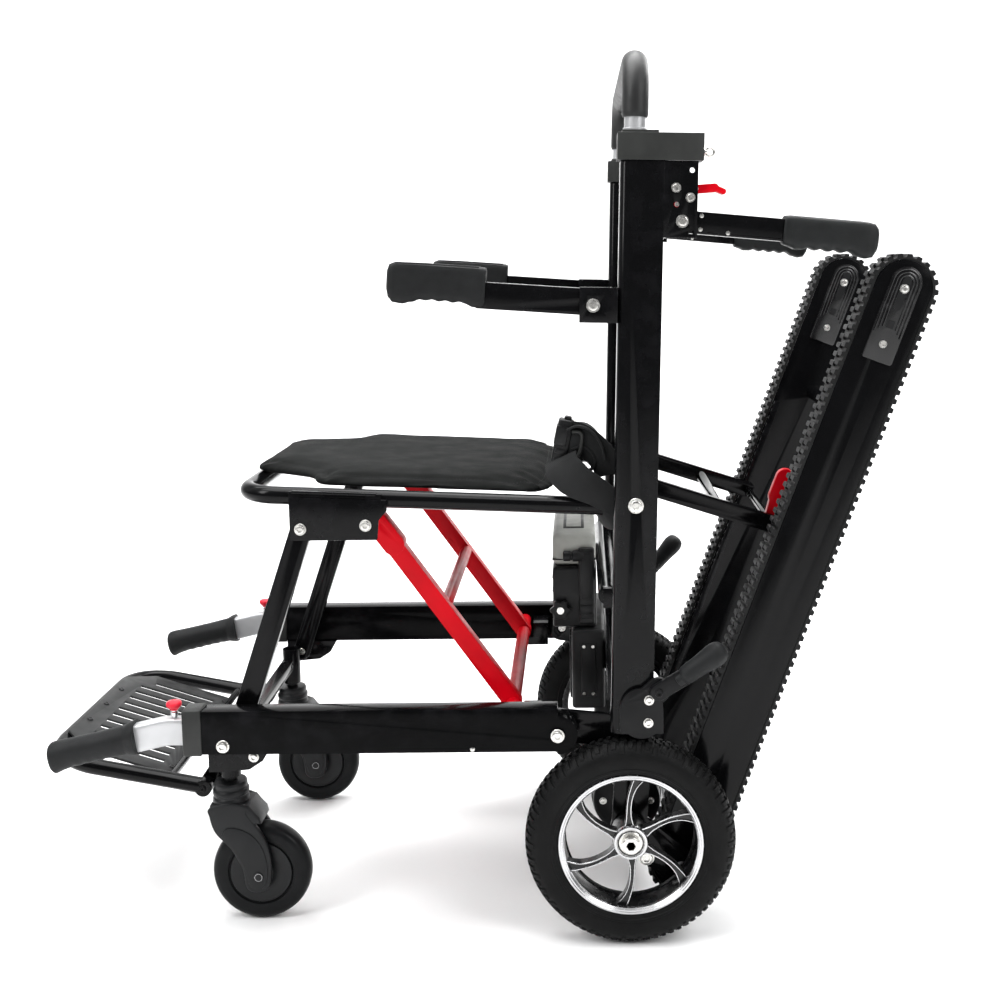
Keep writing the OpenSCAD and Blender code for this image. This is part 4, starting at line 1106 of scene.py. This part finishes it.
# buckle half: tapered body, side latches, slot bars and a bright-edged strap frame
B = T(-77, -167, 608) @ RY(12)
b.box((-10.5, -12, -27), (9, 12, 28), 3.2, 3, B, 1)
b.box((-11.5, -14.6, -4), (4, 14.6, 20), 2.0, 2, B, 1)
b.box((-8, -13.2, -25), (6, 13.2, -19), 1.2, 2, B, 1)
b.box((-8, -13.2, -14), (6, 13.2, -8), 1.2, 2, B, 1)
b.box((-4, -7, 27), (5, 7, 32), 1.4, 2, B, 1)
loop = [(8, -14.5, -14), (17, -14.5, -16), (22, -14.5, -9), (22, -14.5, 9), (18, -14.5, 17), (8, -14.5, 16)]
b.tube([Vector(p) for p in spline(loop, 6, False)], 2.6, 12, B, 2)
b.tube([Vector((p[0], 11.0, p[2])) for p in spline(loop, 6, False)], 2.6, 12, B, 2)

# far half: the same strap, with its tongue laid down behind the pad
def far(pts, step=6):
    return [Vector((p[0], -p[1], p[2])) for p in spline(pts, step, False)]


strap = [(-9, -203.2, 532), (-20, -203.3, 538), (-36, -203.4, 546), (-50, -202.8, 552), (-60, -197, 556), (-64, -187, 558)]
b.tube(far(strap), 0, 8, None, 0, sec=lambda t: band(12.5 + 8.0 * t, 1.1), up=(0, 1, 0))
b.tube(far(under[:6], 5), 0, 8, None, 0, sec=lambda t: band(15.0, 1.0), up=(0, 1, 0))
fold = [(-62, -190, 560), (-58, -178, 565), (-48, -172, 566), (-38, -174, 562), (-32, -178, 554)]
b.tube(far(fold), 0, 8, None, 0, sec=lambda t: facing(14.0, 1.2), up=(0, 1, 0))
B = T(-66, 168, 566) @ RY(70)
b.box((-4.5, -14, -20), (4.5, 14, 4), 2.4, 3, B, 1)
b.box((-2.2, -11, 3), (2.2, 11, 17), 1.0, 2, B, 1)
for w in (-9.5, 9.5):
    b.box((-3.2, w - 2.2, 2), (3.2, w + 2.2, 20), 1.2, 2, B, 1)
lap = b.obj("lap_belt", [WEB, CASE, CAP], "seat", "seat_belt", angle=40)
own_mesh(lap)
# ------------------------------------------------------------------ battery, motor and small fittings
b = Bld()
b.box((-94, -84, 347), (-36.5, 84, 428), 4.0, 3, None, 0)
for z in (362, 394, 412):
    b.box((-94.8, -80, z), (-92.5, 80, z + 2.2), 0.6, 1, None, 0)
b.box((-60, -86.6, 351), (-39, -77, 454), 3.0, 3, None, 0)
b.box((-57, -87.6, 386), (-42, -86.0, 448), 0.7, 2, None, 0)
b.box((-58, -88.2, 366), (-41, -86.0, 378), 1.2, 2, None, 0)
b.box((-57, -87.4, 354), (-42, -86.0, 360), 0.5, 1, None, 0)
# plug lying in front of the lid, and the lobed clamp knob
b.lathe([(0, 0), (5.6, 0), (6.8, 1.2), (6.8, 9), (5.6, 10), (5.6, 12), (7.4, 13), (7.6, 25), (6.4, 27), (0, 27)], T(-80, -82.4, 443) @ RY(90), 28, 0)
lobes = []
for k in range(72):
    a = 2 * math.pi * k / 72
    q = 12.2 + 1.8 * math.cos(6 * a)
    lobes.append((-84 + q * math.cos(a), 373 + q * math.sin(a)))
b.prism(lobes, -95.6, -87.6, 1.6, 3, None, 0)
b.lathe([(0, 0), (7, 0), (7, 4.6), (0, 4.6)], T(-84, -83.4, 373) @ FACE, 24, 0)
b.lathe([(0, 0), (5.0, 0), (4.6, 0.8), (0, 1.0)], T(-84, -95.4, 373) @ FACE, 24, 1)
both_sides(b)
b.obj("battery_case_form", [CASE, ZINC], "chassis", "battery_case", angle=36)

b = Bld()
b.box((-94, -78, 428.5), (-37, 78, 472), 9.0, 5, None, 0)
b.box((-94.5, -78.5, 436.4), (-36.6, 78.5, 438.2), 0.5, 1, None, 1)
b.box((-80, -46, 470.6), (-52, 46, 472.6), 1.0, 2, None, 1)
b.box((-76, -40, 471.8), (-56, 40, 473.6), 0.8, 2, None, 0)
b.obj("battery_lid_form", [CASE_GREY, CASE], "chassis", "battery_lid", angle=36)

b = Bld()
b.box((-70, -92, 238), (-26.1, 92, 346), 5.0, 3, None, 0)
for k in range(-5, 6):
    b.box((-72.6, k * 15.6 - 2.2, 250), (-68, k * 15.6 + 2.2, 334), 1.0, 2, None, 0)
b.box((-58, -93.6, 256), (-38, -90, 328), 1.2, 2, None, 0)
b.box((-58, 90, 256), (-38, 93.6, 328), 1.2, 2, None, 0)
for x, z in ((-54, 260), (-42, 260), (-54, 324), (-42, 324)):
    b.hexbolt(T(x, -93.6, z) @ FACE, 4.4, 1.8, 1, washer=False)
    b.hexbolt(T(x, 93.6, z) @ RX(-90), 4.4, 1.8, 1, washer=False)
fins = [(8.1, -130), (38, -130), (43, -128), (44.5, -124), (44.5, -116)]
y = -112
while y < 112:
    fins += [(42.0, y), (46.0, y + 1.2), (46.0, y + 4.0), (42.0, y + 5.2)]
    y += 8
fins += [(44.5, 116), (44.5, 124), (43, 128), (38, 130), (8.1, 130)]
b.lathe(fins, T(0, 0, 128.5) @ FACE, 64, 2, closed=True)
for a in range(0, 360, 60):
    for y0, F in ((-129.6, FACE), (129.6, RX(-90))):
        b.hexbolt(T(31 * math.cos(D(a)), y0, 128.5 + 31 * math.sin(D(a))) @ F, 7.4, 3.4, 1)
b.box((-40, -60, 150), (10, 60, 240), 5.0, 3, None, 0)
b.obj("gear_motor", [CASE, ZINC, BLACK_SATIN], "chassis", "motor_housing", angle=34)

# screws of the foot plate
b = Bld()
FOOT = T(*P_FLIP) @ RY(11) @ T(-203, 0, 13.5) @ RY(7)
for x, y in ((12, -58), (12, 0), (12, 58), (148, -120), (148, 120)):
    b.lathe([(0, 0), (4.2, 0), (3.9, 1.0), (2.4, 1.9), (1.6, 1.5), (0, 1.5)], FOOT @ T(x, y, 0.1), 24, 0)
b.obj("foot_plate_screws", BLACK_SATIN, "footrest", (), SLOT_OF["base_bolts"], angle=34)

# ------------------------------------------------------------------ remaining CAD nodes, with rounded edges
SKINS = {
    "columns": (BLACK, 2.0), "column_caps": (CAP, 3.0), "cross_tubes": (BLACK, 1.0), "axle_plates": (BLACK, 1.2),
    "lever_brackets": (BLACK_SATIN, 1.6), "rear_axle": (STEEL, 0.8), "motor_housing": (CASE, 4.0), "battery_case": (CASE, 3.0),
    "battery_lid": (CASE_GREY, 5.0), "back_sling": (CLOTH, 1.5), "handle_plates": (BLACK, 0.8), "armrest_clamps": (BLACK, 1.0),
    "chassis_bolts": (ZINC, 0.5), "push_handle_tube": (ALU, 0.6), "push_handle_sleeve": (SLEEVE, 2.0),
    # the side rails use the darker, less reflective copy of the black paint: painted shade
    "side_rails": (BLACK_RAIL_SHADED, 1.6), "rail_caps": (CAP, 2.0), "caster_brackets": (BLACK, 1.4), "base_bolts": (ZINC, 0.5),
    "footrest_frame": (BLACK, 0.8), "footrest_plate": (FOOTPLATE, 0.8), "seat_frame": (BLACK, 0.8), "seat_brackets": (BLACK, 0.8),
    "seat_sling": (CLOTH, 3.0), "seat_belt": (WEB, 0.6), "front_legs": (BLACK, 1.2), "red_brace": (RED, 1.2),
    "track_frames": (BLACK, 0.9), "track_belts": (BELT, 0.8), "tensioner_plates": (TENSION, 0.8), "track_drive": (STEEL, 0.8),
    "track_idlers": (STEEL, 0.8), "link_arms": (BLACK, 1.0), "track_latch": (RED, 1.5),
}
for _s, _n in BOTH:
    SKINS.update({
        "armrest_bar_" + _n: (BLACK, 1.2), "armrest_grip_" + _n: (GRIP, 4.0), "rear_handle_bar_" + _n: (BLACK, 1.2),
        "rear_handle_grip_" + _n: (GRIP_GREY, 4.0), "handle_latch_" + _n: (RED, 0.8), "brake_lever_" + _n: (GRIP, 1.0),
        "rear_tyre_" + _n: (TYRE, 1.0), "rear_rim_" + _n: (RIM_BLACK, 0.8), "carry_tube_" + _n: (ALU, 1.4),
        "carry_grip_" + _n: (GRIP, 2.0), "carry_knob_" + _n: (RED_KNOB, 0.8), "caster_fork_" + _n: (FORK, 2.0),
        "caster_wheel_" + _n: (PU, 1.0),
    })
# the two round shafts that turn in close bores get a little running clearance
EASE = {"track_drive": (0.2525, 0.073), "track_idlers": (0.519506, 0.790958)}
for _node in sorted(NODES):
    if not NODES[_node].hide_render:
        _ob = skin(_node, *SKINS[_node])
        if _node in EASE:
            _ax, _az = EASE[_node]
            for _v in _ob.data.vertices:
                _dx, _dz = _v.co.x - _ax, _v.co.z - _az
                _r = math.hypot(_dx, _dz)
                if _r > 1e-3:
                    _v.co.x -= _dx / _r * 0.00015
                    _v.co.z -= _dz / _r * 0.00015

# ------------------------------------------------------------------ camera, floor and light
scene = bpy.context.scene
cam_data = bpy.data.cameras.new("camera")
cam = bpy.data.objects.new("camera", cam_data)
scene.collection.objects.link(cam)
YAW, PITCH, ROLL = 0.0059, -0.1119, -0.0112
fwd = Vector((-math.sin(YAW), math.cos(YAW), 0))
right = Vector((math.cos(YAW), math.sin(YAW), 0))
fwd, upv = fwd * math.cos(PITCH) + Vector((0, 0, 1)) * math.sin(PITCH), Vector((0, 0, 1)) * math.cos(PITCH) - fwd * math.sin(PITCH)
right, upv = right * math.cos(ROLL) + upv * math.sin(ROLL), upv * math.cos(ROLL) - right * math.sin(ROLL)
cm = Matrix((right, upv, -fwd)).transposed().to_4x4()
cm.translation = W(-57.5, -1676.2, 836.1)
cam.matrix_world = cm
cam_data.sensor_width = 36.0
cam_data.lens = 885.8 * 1.4 * 36.0 / 1000.0
cam_data.shift_x = -0.0712
cam_data.shift_y = -0.1061
cam_data.clip_start, cam_data.clip_end = 0.05, 60.0
cam_data.dof.use_dof = False
scene.camera = cam

scene.view_settings.view_transform = "Standard"
scene.view_settings.look = "None"
scene.view_settings.exposure = 0.0

# studio surround: bright above and behind the chair, dim on the near side so the gloss paint stays dark
world = bpy.data.worlds.new("studio")
scene.world = world
world.use_nodes = True
wn = world.node_tree
bg = wn.nodes["Background"]
bg.inputs["Strength"].default_value = 1.0
wc = wn.nodes.new("ShaderNodeTexCoord")
ws = wn.nodes.new("ShaderNodeSeparateXYZ")
wn.links.new(wc.outputs["Generated"], ws.inputs[0])
wa = wn.nodes.new("ShaderNodeMath")
wa.operation = "MULTIPLY_ADD"
wa.inputs[1].default_value = 0.7
wn.links.new(ws.outputs["Y"], wa.inputs[0])
wz = wn.nodes.new("ShaderNodeMath")
wz.operation = "MULTIPLY"
wz.inputs[1].default_value = 0.8
wn.links.new(ws.outputs["Z"], wz.inputs[0])
wn.links.new(wz.outputs[0], wa.inputs[2])
wr = wn.nodes.new("ShaderNodeValToRGB")
wr.color_ramp.elements[0].position = 0.0
wr.color_ramp.elements[0].color = (0.2, 0.2, 0.205, 1)
wr.color_ramp.elements[1].position = 0.75
wr.color_ramp.elements[1].color = (1.25, 1.25, 1.25, 1)
wn.links.new(wa.outputs[0], wr.inputs[0])
wn.links.new(wr.outputs[0], bg.inputs["Color"])

fl = bpy.data.meshes.new("floor")
bmf = bmesh.new()
prof = [(-9.0, 0.0)] + [(2.2 + 1.6 * math.sin(D(a)), 1.6 - 1.6 * math.cos(D(a))) for a in range(0, 91, 6)] + [(3.8, 9.0)]
rows = [[bmf.verts.new((x, y, z - 0.0004)) for y, z in prof] for x in (-12.0, 12.0)]
for i in range(len(prof) - 1):
    bmf.faces.new((rows[0][i], rows[1][i], rows[1][i + 1], rows[0][i + 1]))
bmf.to_mesh(fl)
bmf.free()
fl.polygons.foreach_set("use_smooth", [True] * len(fl.polygons))
floor = bpy.data.objects.new("floor", fl)
scene.collection.objects.link(floor)
fm = Mat("floor_paper", Specular_IOR_Level=0.2)
fm.color(fm.ramp(fm.noise(3, 3), [(0.3, (0.90, 0.90, 0.90)), (0.7, (0.92, 0.92, 0.92))]))
fm.rough(fm.span(fm.noise(40, 3), 0.75, 0.85))
fl.materials.append(fm.m)


def softbox(name, at, to, size, power):
    ld = bpy.data.lights.new(name, "AREA")
    ld.shape = "RECTANGLE"
    ld.size, ld.size_y = size
    ld.energy = power
    o = bpy.data.objects.new(name, ld)
    scene.collection.objects.link(o)
    o.location = at
    o.rotation_euler = (Vector(to) - Vector(at)).to_track_quat("-Z", "Y").to_euler()


softbox("top", (-0.2, 0.1, 3.2), (-0.1, 0.0, 0.4), (3.4, 1.8), 120)
softbox("key", (-2.4, -1.9, 2.6), (-0.1, 0, 0.5), (1.0, 1.8), 60)
softbox("fill", (2.3, -2.0, 2.2), (0.1, 0, 0.5), (0.9, 1.8), 45)
softbox("rim", (1.9, 2.0, 2.2), (0.1, 0, 0.6), (1.4, 1.2), 40)
softbox("sweep", (0.0, 1.5, 3.6), (0.0, 2.8, 0.8), (5.0, 1.2), 130)
